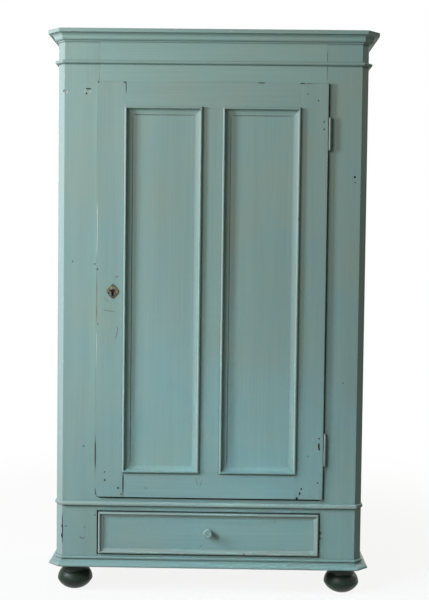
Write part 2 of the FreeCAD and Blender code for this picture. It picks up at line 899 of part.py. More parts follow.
def round_head(radius, height, seat):
    """A domed screw head that faces the rear, slotted from side to side."""
    head = turned((0, 0), [(radius, 0), dome(radius, 0, height)], seat, rear, right)
    top_y = seat.y + height
    half_slot = screw_slot_width / 2
    return head.cut(block(seat.x - radius, seat.x + radius, top_y - screw_slot_depth, top_y,
                          seat.z - half_slot, seat.z + half_slot))


def lock_screws():
    """Four round-headed screws through the ears of the lock."""
    screws = []
    half_ear = lock_ear / 2
    for x in (lock_left + lock_ear_inset + half_ear, lock_right - lock_ear_inset - half_ear):
        for z in (key_z - lock_below_key - half_ear, key_z + lock_above_key + half_ear):
            seat = Vector(x, door_back_y + lock_wall, z)
            shank = rod(lock_screw_radius, seat, front, lock_screw_length)
            screws.append(joined(shank, round_head(lock_screw_head_radius, lock_screw_head, seat)))
    return screws


def drill_pin():
    """The fixed pin in the keyhole, riveted into the back of the lock."""
    start = door_face_y + drill_pin_recess
    return rod(drill_pin_radius, Vector(key_x, start, key_z), rear, lock_back_y - start)


def bolt_bar(x_low, x_high, clearance):
    """The bolt's bar, or the room that it runs in."""
    half = bolt_height / 2 + clearance
    return block(x_low, x_high, bolt_y - clearance, bolt_y + bolt_thickness + clearance,
                 bolt_z - half, bolt_z + half)


def lock_bolt():
    """The bolt, drawn back into the lock, slotted over the stud."""
    bar = bolt_bar(lock_left, bolt_end, 0.0)
    stud_x = lock_left + bolt_stud_inset
    slot_radius = bolt_stud_radius + bolt_clearance
    slot = block(stud_x, stud_x + bolt_travel, bolt_y, bolt_y + bolt_thickness,
                 bolt_z - slot_radius, bolt_z + slot_radius)
    ends = [rod(slot_radius, Vector(x, bolt_y, bolt_z), rear, bolt_thickness)
            for x in (stud_x, stud_x + bolt_travel)]
    return bar.cut(joined(slot, *ends))


def strike_room():
    """The room that the bolt needs in the front stile."""
    return bolt_bar(lock_left - bolt_travel - strike_clearance, -half_opening, strike_clearance)


def strike_blank():
    """The outline of the strike plate, let into the edge of the front stile."""
    half = bolt_height / 2 + strike_margin
    return block(-half_opening - strike_thickness, -half_opening, bolt_y - strike_side, frame_back_y,
                 bolt_z - half, bolt_z + half)


def left_drawer_side(drawer_floor, drawer_back):
    """A drawer side with tails on its front end."""
    x_low, x_high = -drawer_half, -drawer_side_inner
    board = block(x_low, x_high, drawer_inner_y, drawer_end_y, drawer_side_bottom, drawer_side_top)
    tip_y = drawer_face_y + drawer_front_lap
    pitch = (drawer_side_top - drawer_side_bottom) / dovetail_count
    tails = []
    for i in range(dovetail_count):
        middle = drawer_side_bottom + (i + 0.5) * pitch
        root = dovetail_root / 2
        tip = root + dovetail_flare
        corners = [Vector(x_low, drawer_inner_y, middle - root), Vector(x_low, drawer_inner_y, middle + root),
                   Vector(x_low, tip_y, middle + tip), Vector(x_low, tip_y, middle - tip)]
        tails.append(prism(corners, right * drawer_side_thickness))
    return joined(board, *tails).cut([drawer_floor, drawer_back])


def drawer_floor_board():
    """The drawer bottom, let into the sides and the front."""
    half = drawer_side_inner + drawer_housing
    return block(-half, half, drawer_inner_y - drawer_housing, drawer_end_y,
                 drawer_floor_bottom, drawer_floor_top)


def drawer_back_board():
    """The drawer back, housed in the sides above the bottom."""
    half = drawer_side_inner + drawer_housing
    rear_face = drawer_end_y - drawer_back_inset
    return block(-half, half, rear_face - drawer_back_thickness, rear_face,
                 drawer_floor_top, drawer_side_top - drawer_back_drop)


def drawer_knob(screw):
    """A turned knob with a dished face, a dimple and a spigot through the drawer front."""
    neck_top = 2 * knob_neck_at - knob_base
    dish = knob_length - knob_dish
    profile = [
        (knob_spigot_radius, -drawer_front_thickness),
        (knob_spigot_radius, 0),
        (knob_base_radius, 0),
        (knob_base_radius, knob_base),
        ((knob_neck_radius, knob_neck_at), (knob_base_radius, neck_top)),
        ((knob_flare_radius, knob_flare_at), (knob_radius, knob_widest_at)),
        upright_arc((knob_radius, knob_widest_at), (knob_face_radius, knob_length)),
        (((knob_face_radius + knob_dimple_radius) / 2, dish + knob_dish / 4), (knob_dimple_radius, dish)),
        (0, dish - knob_dimple),
    ]
    base = Vector(0, drawer_face_y, knob_z)
    return turned((0, -drawer_front_thickness), profile, base, front, right).cut(screw)


def knob_screw():
    """The screw that draws the knob tight from inside the drawer."""
    seat = Vector(0, drawer_inner_y, knob_z)
    shank = rod(knob_screw_radius, seat, front, drawer_front_thickness + knob_screw_reach)
    return joined(shank, round_head(knob_screw_head_radius, knob_screw_head, seat))


def drawer_front_board(sides, drawer_floor):
    """The drawer front, socketed for the tails, grooved for the bottom and bored for the knob."""
    board = block(-drawer_half, drawer_half, drawer_face_y, drawer_inner_y,
                  drawer_bottom_edge, drawer_top_edge)
    bore = rod(knob_spigot_radius, Vector(0, drawer_face_y, knob_z), rear, drawer_front_thickness)
    return board.cut(list(sides) + [drawer_floor, bore])


def left_runner():
    """The strip that a drawer side slides on, flush with the outside of its guide."""
    x_high = -drawer_half + runner_inset
    return block(x_high - runner_width, x_high, frame_back_y, runner_end_y, base_top, runner_top)


def left_guide():
    """The strip that keeps the drawer straight."""
    x_high = -drawer_half - guide_clearance
    return block(x_high - guide_width, x_high, frame_back_y, runner_end_y,
                 runner_top, runner_top + guide_height)


def left_stop():
    """The block that the drawer front closes against."""
    middle = -stop_spacing / 2
    y_low = max(drawer_inner_y, frame_back_y) + stop_clearance
    return block(middle - stop_width / 2, middle + stop_width / 2, y_low, y_low + stop_depth,
                 base_top, drawer_floor_bottom - stop_top_gap)


def save(node, *solids):
    """Write one node; a node may hold several separate solids."""
    shape = solids[0] if len(solids) == 1 else Part.makeCompound(list(solids))
    for solid in shape.Solids:
        if not solid.isValid() or solid.Volume <= 0:
            print("bad solid in", node)
    shape.exportStep(os.path.join("parts", node + ".step"))


def save_case():
    """Front frame, boards, shelves and drawer supports."""
    bottom_rail = frame_rail(case_bottom, drawer_opening_bottom)
    mid_rail = frame_rail(drawer_opening_top, door_opening_bottom)
    frieze_rail = frame_rail(door_opening_top, case_top)
    rails = [bottom_rail, mid_rail, frieze_rail]
    tongue = side_tongue()
    stile = left_stile(rails, tongue)
    pins = [hinge_pin(level) for level in hinge_levels]
    nails = [frame_nails(level) for level in hinge_levels]
    leaves = [frame_leaf(level, pin, group) for level, pin, group in zip(hinge_levels, pins, nails)]
    all_nails = [one for group in nails for one in group]
    leaf_slots = [frame_leaf_plate(level, leaf_clearance) for level in hinge_levels]
    save("left_front_stile", stile.cut([strike_room(), strike_blank()]))
    save("right_front_stile", mirrored(stile).cut(leaf_slots + all_nails + [hinge_rebate()]))
    save("bottom_rail", bottom_rail)
    save("mid_rail", mid_rail)
    save("frieze_rail", frieze_rail)
    floor = housed_board(floor_bottom, door_opening_bottom)
    base = housed_board(case_bottom, base_top)
    side = left_side(tongue, [floor, base])
    save("left_side_panel", side)
    save("right_side_panel", mirrored(side))
    save("floor_board", floor)
    save("top_board", top_board())
    save("back_boards", *back_boards())
    for name, level in zip(("lower_shelf", "middle_shelf", "upper_shelf"), shelf_levels()):
        save(name, shelf(level))
    cleats = [left_cleat(level) for level in shelf_levels()]
    save("shelf_cleats", *(cleats + [mirrored(cleat) for cleat in cleats]))
    save("drawer_runners", left_runner(), mirrored(left_runner()))
    save("drawer_guides", left_guide(), mirrored(left_guide()))
    save("drawer_stops", left_stop(), mirrored(left_stop()))
    foot_x = half_case - foot_side_inset
    foot_rows = (("front", face_y + foot_front_inset), ("rear", back_y - foot_back_inset))
    holes = []
    for row, y in foot_rows:
        for side_name, x in (("left", -foot_x), ("right", foot_x)):
            save(row + "_" + side_name + "_foot", foot(x, y))
            holes.append(spigot_hole(x, y))
    save("base_board", base.cut(holes))
    for name, leaf in zip(("lower_hinge_frame_leaf", "upper_hinge_frame_leaf"), leaves):
        save(name, leaf)
    save("hinge_pins", *pins)
    save("frame_hinge_nails", *all_nails)
    save("strike_plate", strike_blank().cut(strike_room()))


def save_mouldings():
    """Cornice, frieze bead, waist moulding, slimmer on the cants and sides, and plinth."""
    start, section = cornice_section()
    lengths = case_moulding(start, section, case_top - cornice_height)
    save("cornice_front", lengths[0])
    save("cornice_cants", lengths[1], lengths[3])
    save("cornice_returns", lengths[2], lengths[4])
    start, section = bead_section()
    save("frieze_bead", *case_moulding(start, section, case_top - bead_drop - bead_height))
    waist_level = drawer_opening_top + waist_rise
    start, section = waist_section(waist_projection)
    across = case_moulding(start, section, waist_level)[0]
    start, section = waist_section(waist_side_projection)
    save("waist_moulding", across, *case_moulding(start, section, waist_level)[1:])
    start, section = plinth_section()
    lengths = case_moulding(start, section, case_bottom)
    save("plinth_front", lengths[0])
    save("plinth_cants", lengths[1], lengths[3])
    save("plinth_returns", lengths[2], lengths[4])


def save_door():
    """The framed door with its panels, mouldings, hinge leaves and lock."""
    rails = door_rails()
    muntin = door_muntin()
    nails = [one for level in hinge_levels for one in door_nails(level)]
    slots = [door_leaf_plate(level, leaf_clearance) for level in hinge_levels]
    save("door_top_rail", rails[0].cut(muntin))
    save("door_bottom_rail", rails[1].cut(muntin))
    save("door_muntin", muntin)
    screws = lock_screws()
    save("door_lock_stile", door_lock_stile(rails).cut(screws))
    save("door_hinge_stile", door_hinge_stile(rails, slots, nails))
    panel = left_door_panel()
    save("door_left_panel", panel)
    save("door_right_panel", mirrored(panel))
    moulding = left_panel_moulding()
    save("left_panel_moulding", *moulding)
    save("right_panel_moulding", *[mirrored(length) for length in moulding])
    for name, level in zip(("lower_hinge_door_leaf", "upper_hinge_door_leaf"), hinge_levels):
        save(name, door_leaf(level, nails))
    save("door_hinge_nails", *nails)
    save("key_plate", key_plate())
    pin = drill_pin()
    bolt_room = bolt_bar(lock_left, lock_left + lock_wall, bolt_clearance)
    save("lock_case", lock_case(pin, screws, bolt_room))
    save("lock_drill_pin", pin)
    save("lock_screws", *screws)
    save("lock_bolt", lock_bolt())


def save_drawer():
    """The dovetailed drawer with its planted moulding and knob."""
    drawer_floor = drawer_floor_board()
    drawer_back = drawer_back_board()
    side = left_drawer_side(drawer_floor, drawer_back)
    sides = [side, mirrored(side)]
    screw = knob_screw()
    save("drawer_front", drawer_front_board(sides, drawer_floor))
    save("drawer_left_side", sides[0])
    save("drawer_right_side", sides[1])
    save("drawer_back", drawer_back)
    save("drawer_bottom", drawer_floor)
    start, section = drawer_moulding_section()
    save("drawer_front_moulding", *mitred_frame(start, section, -drawer_half, drawer_half,
                                                drawer_bottom_edge, drawer_top_edge, drawer_face_y))
    save("drawer_knob", drawer_knob(screw))
    save("knob_screw", screw)


os.makedirs("parts", exist_ok=True)
save_case()
save_mouldings()
save_door()
save_drawer()
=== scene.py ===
"""Looks of a tall painted pine cupboard with one door over a drawer: finishes, wear, light and camera.

Sizes in the fields are millimetres, and Blender's own lengths are metres. The cupboard stands on the
floor with its front towards -Y, as the frame has it.
"""
import logging
import math
import random
from collections.abc import Sequence
from dataclasses import dataclass, field
from enum import Enum
from functools import cache
from typing import Any, ClassVar, NamedTuple, Self

import bmesh
import bpy
from bmesh.types import BMesh, BMFace
from bpy.types import Material, NodeSocket, NodeTree, Object, World
from mathutils import Matrix, Vector


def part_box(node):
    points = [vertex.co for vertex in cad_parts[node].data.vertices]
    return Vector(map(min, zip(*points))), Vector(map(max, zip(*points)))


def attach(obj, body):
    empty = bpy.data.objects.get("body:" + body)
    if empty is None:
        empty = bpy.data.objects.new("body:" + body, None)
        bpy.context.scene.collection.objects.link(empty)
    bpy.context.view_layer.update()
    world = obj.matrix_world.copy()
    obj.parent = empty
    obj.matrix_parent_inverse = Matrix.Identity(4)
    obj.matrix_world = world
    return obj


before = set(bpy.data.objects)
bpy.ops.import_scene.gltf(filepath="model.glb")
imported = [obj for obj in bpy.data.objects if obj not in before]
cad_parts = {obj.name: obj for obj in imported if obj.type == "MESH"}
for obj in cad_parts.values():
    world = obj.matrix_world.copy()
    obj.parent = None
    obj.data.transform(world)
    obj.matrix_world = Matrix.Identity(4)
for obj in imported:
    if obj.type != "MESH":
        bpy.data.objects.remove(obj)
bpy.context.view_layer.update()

LOG = logging.getLogger("cupboard")
MM = 0.001

# A mix of two colours: its sockets, which share their names with other kinds of mix, and its settings.
MIX_A = 6
MIX_B = 7
COLOUR_MIX = {"data_type": "RGBA", "output": 2}


def linear(hex_colour: str) -> tuple[float, float, float, float]:
    """Turn an sRGB hex colour into the linear colour that a shader takes.

    Args:
        hex_colour: A hash sign and six hex digits.

    Returns:
        Red, green and blue, and an alpha of one.
    """
    shares = [int(hex_colour[at:at + 2], 16) / 255 for at in (1, 3, 5)]
    red, green, blue = (s / 12.92 if s <= 0.04045 else ((s + 0.055) / 1.055) ** 2.4 for s in shares)
    return red, green, blue, 1.0


@dataclass
class Nodes:
    """A tree of nodes that is being made: shader nodes, unless the family says otherwise."""

    tree: NodeTree
    family: ClassVar[str] = "ShaderNode"

    @classmethod
    def of(cls, owner: Material | World) -> Self:
        """Start the nodes of a material or of the world, emptied of Blender's own.

        Args:
            owner: The material or the world.

        Returns:
            Its nodes.
        """
        owner.use_nodes = True
        owner.node_tree.nodes.clear()
        return cls(owner.node_tree)

    def add(self, kind: str, inputs: dict[str | int, Any] | tuple[Any, ...] = (), output: str | int = 0,
            **settings: Any) -> NodeSocket | None:
        """Add a node with its settings, its values and the links into it.

        Args:
            kind: Blender's name of the node's type, without that of its family.
            inputs: What goes into its sockets, another node's socket or a value each: by the sockets'
                names or numbers, or in their order.
            output: Which of its outputs to give, by name or number.
            **settings: The node's own properties.

        Returns:
            That output, or nothing from a node that ends the tree.
        """
        node = self.tree.nodes.new(self.family + kind)
        for name, value in settings.items():
            setattr(node, name, value)
        for name, value in inputs.items() if isinstance(inputs, dict) else enumerate(inputs):
            if isinstance(value, NodeSocket):
                self.tree.links.new(value, node.inputs[name])
            else:
                node.inputs[name].default_value = value
        return node.outputs[output] if node.outputs else None


@dataclass
class Surface(Nodes):
    """A material's nodes, and the place on the piece in metres."""

    place: NodeSocket = field(init=False)

    def __post_init__(self) -> None:
        """Start from the place on the piece."""
        self.place = self.add("TexCoord", output="Object")

    def real_size(self, size: list[float]) -> NodeSocket:
        """Give the place in units of a pattern's real size along x, y and z, in millimetres."""
        shares = [1 / (MM * length) for length in size]
        return self.add("VectorMath", (self.place, shares), operation="MULTIPLY")

    def mottle(self, size: list[float], detail: float) -> NodeSocket:
        """Add a random pattern, around a half: patches of a real size, with some finer layers of detail."""
        unit = self.real_size(size)
        return self.add("TexNoise", {"Vector": unit, "Scale": 1.0, "Detail": detail, "Roughness": 0.6}, "Fac")


class Grain(Enum):
    """Which way a board's grain, and the brush that painted it, ran: the axis by its number."""

    ACROSS = 0
    DEEP = 1
    UPRIGHT = 2

    def size(self, across: float, along: float) -> list[float]:
        """Give a pattern's size along x, y and z from its sizes across and along the grain."""
        return [along if axis == self.value else across for axis in range(3)]


class BareFaces(Enum):
    """Which faces of a painted board never got paint."""

    NONE = "painted all round"
    REAR = "bare where it looks back"
    INNER = "bare where it looks to the middle of the case"


class Layer(NamedTuple):
    """What a finish shows: colour, roughness and height, the height's relief in millimetres, and gloss."""

    colour: NodeSocket
    roughness: NodeSocket
    height: NodeSocket
    relief: float
    specular: float = 0.5
    metallic: NodeSocket | float = 0.0


@dataclass(frozen=True)
class Finish:
    """A surface finish that makes one material, on its first use."""

    name: str

    def layer(self, surface: Surface) -> Layer:
        """Add this finish's patterns to a material; each kind of finish has its own way."""
        raise NotImplementedError

    def edge(self) -> "Finish":
        """Give what a softened edge shows: the same, unless a kind of finish says otherwise."""
        return self

    def material(self) -> Material:
        """Give this finish's material, and make it if it isn't there yet.

        Returns:
            The material, which carries the finish's name.
        """
        if self.name in bpy.data.materials:
            return bpy.data.materials[self.name]
        material = bpy.data.materials.new(self.name)
        surface = Surface.of(material)
        layer = self.layer(surface)
        bump = surface.add("Bump", {"Strength": 1.0, "Distance": layer.relief * MM, "Height": layer.height})
        shader = surface.add("BsdfPrincipled", {
            "Base Color": layer.colour, "Roughness": layer.roughness, "Normal": bump,
            "Specular IOR Level": layer.specular, "Metallic": layer.metallic})
        surface.add("OutputMaterial", {"Surface": shader})
        return material


@dataclass(frozen=True)
class BarePine(Finish):
    """Pine, planed and left bare, browned with age.

    The eye sees honey-coloured wood with darker growth rings in long flames, a few knots that the
    rings bend round, fine fibres and a matt, slightly dusty surface.
    """

    grain: Grain
    early: str = "#BE9A68"
    late: str = "#8F673C"
    knot: str = "#4A2E19"
    dust: str = "#85755E"
    dust_low: float = 0.55
    flame_width: float = 85.0
    flame_length: float = 1500.0
    ring_count: float = 13.0
    knot_spacing: float = 210.0
    knot_spacing_along: float = 560.0
    # A fibre is about 0.1 mm wide, too fine to show, so it is drawn coarser.
    fibre_width: float = 1.8
    fibre_length: float = 90.0
    dust_patch: float = 260.0
    relief: float = 0.12

    def layer(self, surface: Surface) -> Layer:
        """Add the wood's rings, knots, fibres and dust.

        Args:
            surface: The material's nodes.

        Returns:
            What the wood shows.
        """
        add, size = surface.add, self.grain.size
        flame = surface.mottle(size(self.flame_width, self.flame_length), 1.0)
        spacing = surface.real_size(size(self.knot_spacing, self.knot_spacing_along))
        knots = add("TexVoronoi", {"Vector": spacing, "Scale": 1.0}, "Distance")
        near_knot = add("MapRange", (knots, 0.0, 0.28, 0.2, 0.0), interpolation_type="SMOOTHSTEP")
        bent = add("Math", (flame, near_knot), operation="ADD")
        counted = add("Math", (bent, self.ring_count), operation="MULTIPLY")
        ring = add("Math", (counted,), operation="FRACT")
        late = add("MapRange", (ring, 0.25, 0.9, 0.0, 0.85), interpolation_type="SMOOTHSTEP")
        wood = add("Mix", {0: late, MIX_A: linear(self.early), MIX_B: linear(self.late)}, **COLOUR_MIX)
        fibre = surface.mottle(size(self.fibre_width, self.fibre_length), 3.0)
        value = add("MapRange", (fibre, 0.25, 0.75, 0.84, 1.12))
        colour = add("HueSaturation", {"Color": wood, "Value": value})
        in_knot = add("MapRange", (knots, 0.03, 0.075, 0.9, 0.0))
        dusty = surface.mottle([self.dust_patch] * 3, 4.0)
        dust = add("MapRange", (dusty, self.dust_low, self.dust_low + 0.3, 0.0, 0.75))
        for share, over in ((in_knot, self.knot), (dust, self.dust)):
            colour = add("Mix", {0: share, MIX_A: colour, MIX_B: linear(over)}, **COLOUR_MIX)
        roughness = add("MapRange", (fibre, 0.0, 1.0, 0.6, 0.82))
        return Layer(colour, roughness, fibre, self.relief)


@dataclass(frozen=True)
class PaintedPine(Finish):
    """Oil paint brushed on pine long ago, eggshell, with pale undercoat where it has worn.

    The eye sees a soft sage blue that is a little cooler or warmer from patch to patch, bluer low down as
    painted light, greyer on faces that look left as a painted sheen, with faint brush marks along the grain,
    dirt and painted shade in every corner and quirk, and rubbed edges.
    """

    grain: Grain
    bare: BareFaces = BareFaces.NONE
    paint: str = "#86A49E"
    cool: str = "#82A4A2"
    warm: str = "#8AA399"
    # Painted sheen: a greyer colour on faces that look left, toward the lamps.
    sheen_grey: str = "#92A19B"
    shade_and_dirt: str = "#28312B"
    undercoat: str = "#BAC4BA"
    old_wood: str = "#6E573B"
    # Bristle marks are about 0.4 mm wide, too fine to show, so they are drawn coarser.
    brush_width: float = 4.5
    brush_length: float = 320.0
    board_width: float = 60.0
    board_length: float = 1100.0
    tint_patch: float = 240.0
    worn_patch: float = 9.0
    worn_stretch: float = 4.0
    worn_above: float = 0.83
    # Painted shade and dirt: its reach from a corner, its share low down and high up, and its upward lean.
    shade_reach: float = 6.5
    shade_and_dirt_share: float = 0.85
    shade_and_dirt_share_high: float = 0.45
    shade_lean: float = 0.6
    relief: float = 0.05
    specular: float = 0.22
    # Heights between which the tint and the painted shade and dirt change.
    low: float = 200.0
    high: float = 1700.0
    # How far a bare face looks back, or inward times its place in metres.
    looks_back: float = 0.6
    looks_inward: float = 0.2

    def edge(self) -> Finish:
        """Give the same paint rubbed thin."""
        return rubbed(self.grain)

    def coat(self, surface: Surface) -> Layer:
        """Add the paint's tints, brush marks, dirt and wear.

        Args:
            surface: The material's nodes.

        Returns:
            What the paint shows.
        """
        add, size = surface.add, self.grain.size
        brush = surface.mottle(size(self.brush_width, self.brush_length), 3.0)
        board = surface.mottle(size(self.board_width, self.board_length), 2.0)
        level = add("SeparateXYZ", (surface.place,), "Z")
        heights = self.low * MM, self.high * MM
        # Painted light: the paint is bluer near the floor and greener near the top, for cool light on the
        # lower part.
        low_light_tint = add("MapRange", (level, *heights, -0.14, 0.1))
        uneven = surface.mottle([self.tint_patch] * 3, 2.0)
        patch = add("Math", (uneven, low_light_tint), operation="ADD")
        cooler = add("MapRange", (patch, 0.3, 0.5, 1.0, 0.0))
        warmer = add("MapRange", (patch, 0.5, 0.7))
        # Painted sheen: faces that look left, toward the lamps, turn greyer.
        sideways = add("SeparateXYZ", (add("TexCoord", output="Normal"),), "X")
        left_sheen = add("MapRange", (sideways, -0.08, -0.55, 0.0, 0.75))
        tinted = linear(self.paint)
        for share, over in ((cooler, self.cool), (warmer, self.warm), (left_sheen, self.sheen_grey)):
            tinted = add("Mix", {0: share, MIX_A: tinted, MIX_B: linear(over)}, **COLOUR_MIX)
        streak = add("Math", (brush, board), operation="ADD")
        value = add("MapRange", (streak, 0.65, 1.35, 0.93, 1.07))
        colour = add("HueSaturation", {"Color": tinted, "Value": value})
        # Painted shade and dirt: corners, creases and the undersides of ledges are darkened by ambient
        # occlusion, felt for with a lean upward so that the dark gathers under a ledge.
        # It is stronger near the floor.
        facing = add("NewGeometry", output="Normal")
        leaning = add("VectorMath", (facing, (0, 0, self.shade_lean)))
        felt = add("VectorMath", (leaning,), operation="NORMALIZE")
        reach = self.shade_reach * MM
        open_sky = add("AmbientOcclusion", {"Distance": reach, "Normal": felt}, "AO", samples=8)
        shade_by_height = add("MapRange", (level, *heights, self.shade_and_dirt_share, self.shade_and_dirt_share_high))
        shaded_and_dirty = add("MapRange", (open_sky, 0.3, 0.92, shade_by_height, 0.0))
        wear = surface.mottle(size(self.worn_patch, self.worn_stretch * self.worn_patch), 4.0)
        worn = add("MapRange", (wear, self.worn_above, self.worn_above + 0.05))
        to_wood = add("MapRange", (wear, self.worn_above + 0.16, self.worn_above + 0.2))
        under = add("Mix", {0: to_wood, MIX_A: linear(self.undercoat), MIX_B: linear(self.old_wood)},
                    **COLOUR_MIX)
        for share, over in ((shaded_and_dirty, linear(self.shade_and_dirt)), (worn, under)):
            colour = add("Mix", {0: share, MIX_A: colour, MIX_B: over}, **COLOUR_MIX)
        roughness = add("MapRange", (brush, 0.0, 1.0, 0.46, 0.64))
        return Layer(colour, roughness, brush, self.relief, self.specular)

    def bare_share(self, surface: Surface) -> NodeSocket:
        """Tell the faces without paint from the way that they look.

        Args:
            surface: The material's nodes.

        Returns:
            One on bare faces, and nothing on painted ones.
        """
        add = surface.add
        looks = add("SeparateXYZ", (add("TexCoord", output="Normal"),)).node.outputs
        if self.bare is BareFaces.REAR:
            return add("Math", (looks["Y"], self.looks_back), operation="GREATER_THAN")
        side = add("SeparateXYZ", (surface.place,), "X")
        outward = add("Math", (looks["X"], side), operation="MULTIPLY")
        return add("Math", (outward, -self.looks_inward), operation="LESS_THAN")

    def layer(self, surface: Surface) -> Layer:
        """Add the paint, and bare pine on the faces that never got any.

        Args:
            surface: The material's nodes.

        Returns:
            What the painted board shows.
        """
        paint = self.coat(surface)
        if self.bare is BareFaces.NONE:
            return paint
        share = self.bare_share(surface)
        wood = BarePine("pine behind the paint", self.grain).layer(surface)
        colour = surface.add("Mix", {0: share, MIX_A: paint.colour, MIX_B: wood.colour}, **COLOUR_MIX)
        pairs = (paint.roughness, wood.roughness), (paint.height, wood.height)
        roughness, height = (surface.add("Mix", {0: share, 2: ours, 3: theirs}) for ours, theirs in pairs)
        return paint._replace(colour=colour, roughness=roughness, height=height)


@dataclass(frozen=True)
class FootPaint(Finish):
    """Satin enamel brushed on the turned feet, nearly black.

    The eye sees a deep green black with a soft wide highlight, a little dust and rubbed grey patches.
    """

    paint: str = "#13241B"
    pale: str = "#1D3027"
    rubbed: str = "#3A4B43"
    patch: float = 60.0
    ring_width: float = 4.0
    scuff: float = 12.0
    relief: float = 0.06
    specular: float = 0.24

    def layer(self, surface: Surface) -> Layer:
        """Add the enamel's patches, scuffs and turning marks.

        Args:
            surface: The material's nodes.

        Returns:
            What the enamel shows.
        """
        add = surface.add
        patch = surface.mottle([self.patch] * 3, 4.0)
        turned = surface.mottle([self.patch, self.patch, self.ring_width], 3.0)
        scuffed = surface.mottle([self.scuff] * 3, 5.0)
        dusty = add("MapRange", (patch, 0.35, 0.7))
        worn = add("MapRange", (scuffed, 0.68, 0.76, 0.0, 0.7))
        colour = linear(self.paint)
        for share, over in ((dusty, self.pale), (worn, self.rubbed)):
            colour = add("Mix", {0: share, MIX_A: colour, MIX_B: linear(over)}, **COLOUR_MIX)
        roughness = add("MapRange", (patch, 0.0, 1.0, 0.28, 0.46))
        return Layer(colour, roughness, turned, self.relief, self.specular)


@dataclass(frozen=True)
class OldMetal(Finish):
    """Sheet metal that was once bright, now dull: metal where it is rubbed, tarnish in patches.

    The eye sees a soft broad gloss broken by dark matt blotches.
    """

    bright: str
    tarnish: str
    tarnish_from: float
    smooth: float
    patch: float = 9.0
    scratch_width: float = 0.6
    scratch_length: float = 14.0
    relief: float = 0.03
    rim: Finish | None = None

    def edge(self) -> Finish:
        """Give the finish of the rim, where it has one of its own."""
        return self.rim or self

    def layer(self, surface: Surface) -> Layer:
        """Add the metal's tarnish and scratches.

        Args:
            surface: The material's nodes.

        Returns:
            What the metal shows.
        """
        add = surface.add
        patch = surface.mottle([self.patch] * 3, 5.0)
        scratch = surface.mottle([self.scratch_length, self.scratch_length, self.scratch_width], 3.0)
        dull = add("MapRange", (patch, self.tarnish_from, self.tarnish_from + 0.16))
        value = add("MapRange", (scratch, 0.0, 1.0, 0.85, 1.15))
        metal = add("HueSaturation", {"Color": linear(self.bright), "Value": value})
        colour = add("Mix", {0: dull, MIX_A: metal, MIX_B: linear(self.tarnish)}, **COLOUR_MIX)
        metallic = add("MapRange", (dull, 0.0, 1.0, 1.0, 0.35))
        roughness = add("MapRange", (dull, 0.0, 1.0, self.smooth, 0.72))
        return Layer(colour, roughness, scratch, self.relief, metallic=metallic)


@dataclass(frozen=True)
class RawWound(Finish):
    """Wood or undercoat laid bare where paint has chipped off or a joint has opened, and then soiled.

    The eye sees a dark or chalky patch with a few lighter torn fibres, quite matt. Some of the finishes
    made from it also stand for painted shade or a painted highlight, as said where they are made.
    """

    dark: str = "#2A211A"
    torn: str = "#6B5239"
    fibre_width: float = 2.0
    fibre_length: float = 16.0
    relief: float = 0.2

    def layer(self, surface: Surface) -> Layer:
        """Add the torn fibres.

        Args:
            surface: The material's nodes.

        Returns:
            What the chipped place shows.
        """
        add = surface.add
        fibre = surface.mottle(Grain.UPRIGHT.size(self.fibre_width, self.fibre_length), 4.0)
        share = add("MapRange", (fibre, 0.45, 0.7, 0.0, 0.8))
        colour = add("Mix", {0: share, MIX_A: linear(self.dark), MIX_B: linear(self.torn)}, **COLOUR_MIX)
        roughness = add("MapRange", (fibre, 0.0, 1.0, 0.75, 0.95))
        return Layer(colour, roughness, fibre, self.relief)


WOUND = RawWound("soiled_raw_pine")
# Near black: painted shade inside holes, gaps and open joints, and the dark of some chips.
BLACK_SHADE_AND_GRIME = RawWound("dark_of_a_nail_hole", dark="#0D0B09", torn="#1E1813")
# Pale undercoat where paint has chipped, also used as a painted highlight along the door's lit left edge.
UNDERCOAT_AND_HIGHLIGHT = RawWound("chipped_undercoat", dark="#A9B0A6", torn="#C8CCC2")
RUBBED_WOOD = RawWound("hand_rubbed_pine", dark="#6A6250", torn="#847C68")
# Dark grey-green for open joints, scratches and rubs, and painted shade along the door's top and round the
# panels.
GRIME_AND_SHADE = RawWound("grime_and_shade_in_a_joint", dark="#4E5C55", torn="#62716A")

LOCK_IRON = OldMetal("browned_sheet_iron", "#6F6963", "#3B2E26", tarnish_from=0.44, smooth=0.42)
NAIL_IRON = OldMetal("blackened_nail_iron", "#3A3632", "#1A1614", tarnish_from=0.4, smooth=0.45)
# Dark brass for the key plate's pins and rim: tarnish, and on the rim also painted shade round the plate's
# outline.
TARNISHED_AND_SHADED_BRASS = OldMetal("blackened_and_shaded_brass", "#3A342B", "#1D1915", tarnish_from=0.4, smooth=0.4)
KEY_BRASS = OldMetal("greyed_brass", "#7F7C66", "#2C2B23", tarnish_from=0.42, smooth=0.3, patch=7.0,
                     rim=TARNISHED_AND_SHADED_BRASS)


def painted(grain: Grain, unpainted: BareFaces = BareFaces.NONE) -> PaintedPine:
    """Give the paint on the faces of a board."""
    return PaintedPine(f"brushed_paint_{grain.name}_{unpainted.name}".lower(), grain, unpainted)


def rubbed(grain: Grain) -> PaintedPine:
    """Give the paint on a board's rounded edges, where hands and cloths have rubbed it thin."""
    return PaintedPine(f"rubbed_paint_{grain.name}".lower(), grain, worn_above=0.58, worn_patch=6.0,
                       shade_and_dirt_share=0.5, shade_and_dirt_share_high=0.25)


def high_up(grain: Grain, unpainted: BareFaces = BareFaces.NONE) -> PaintedPine:
    """Give the paint on the frieze and the cornice: lighter, as painted light, with less painted shade."""
    return PaintedPine(f"clean_paint_{grain.name}_{unpainted.name}".lower(), grain, unpainted,
                       paint="#88A8A1", cool="#84A8A5", warm="#8BA79D", shade_and_dirt_share_high=0.2)


def handled(grain: Grain) -> PaintedPine:
    """Give the paint on mouldings at hand and foot height, paler from wear."""
    return PaintedPine(f"handled_paint_{grain.name}".lower(), grain, paint="#95ABA4", cool="#92ABA7",
                       warm="#98AAA0", worn_above=0.7)


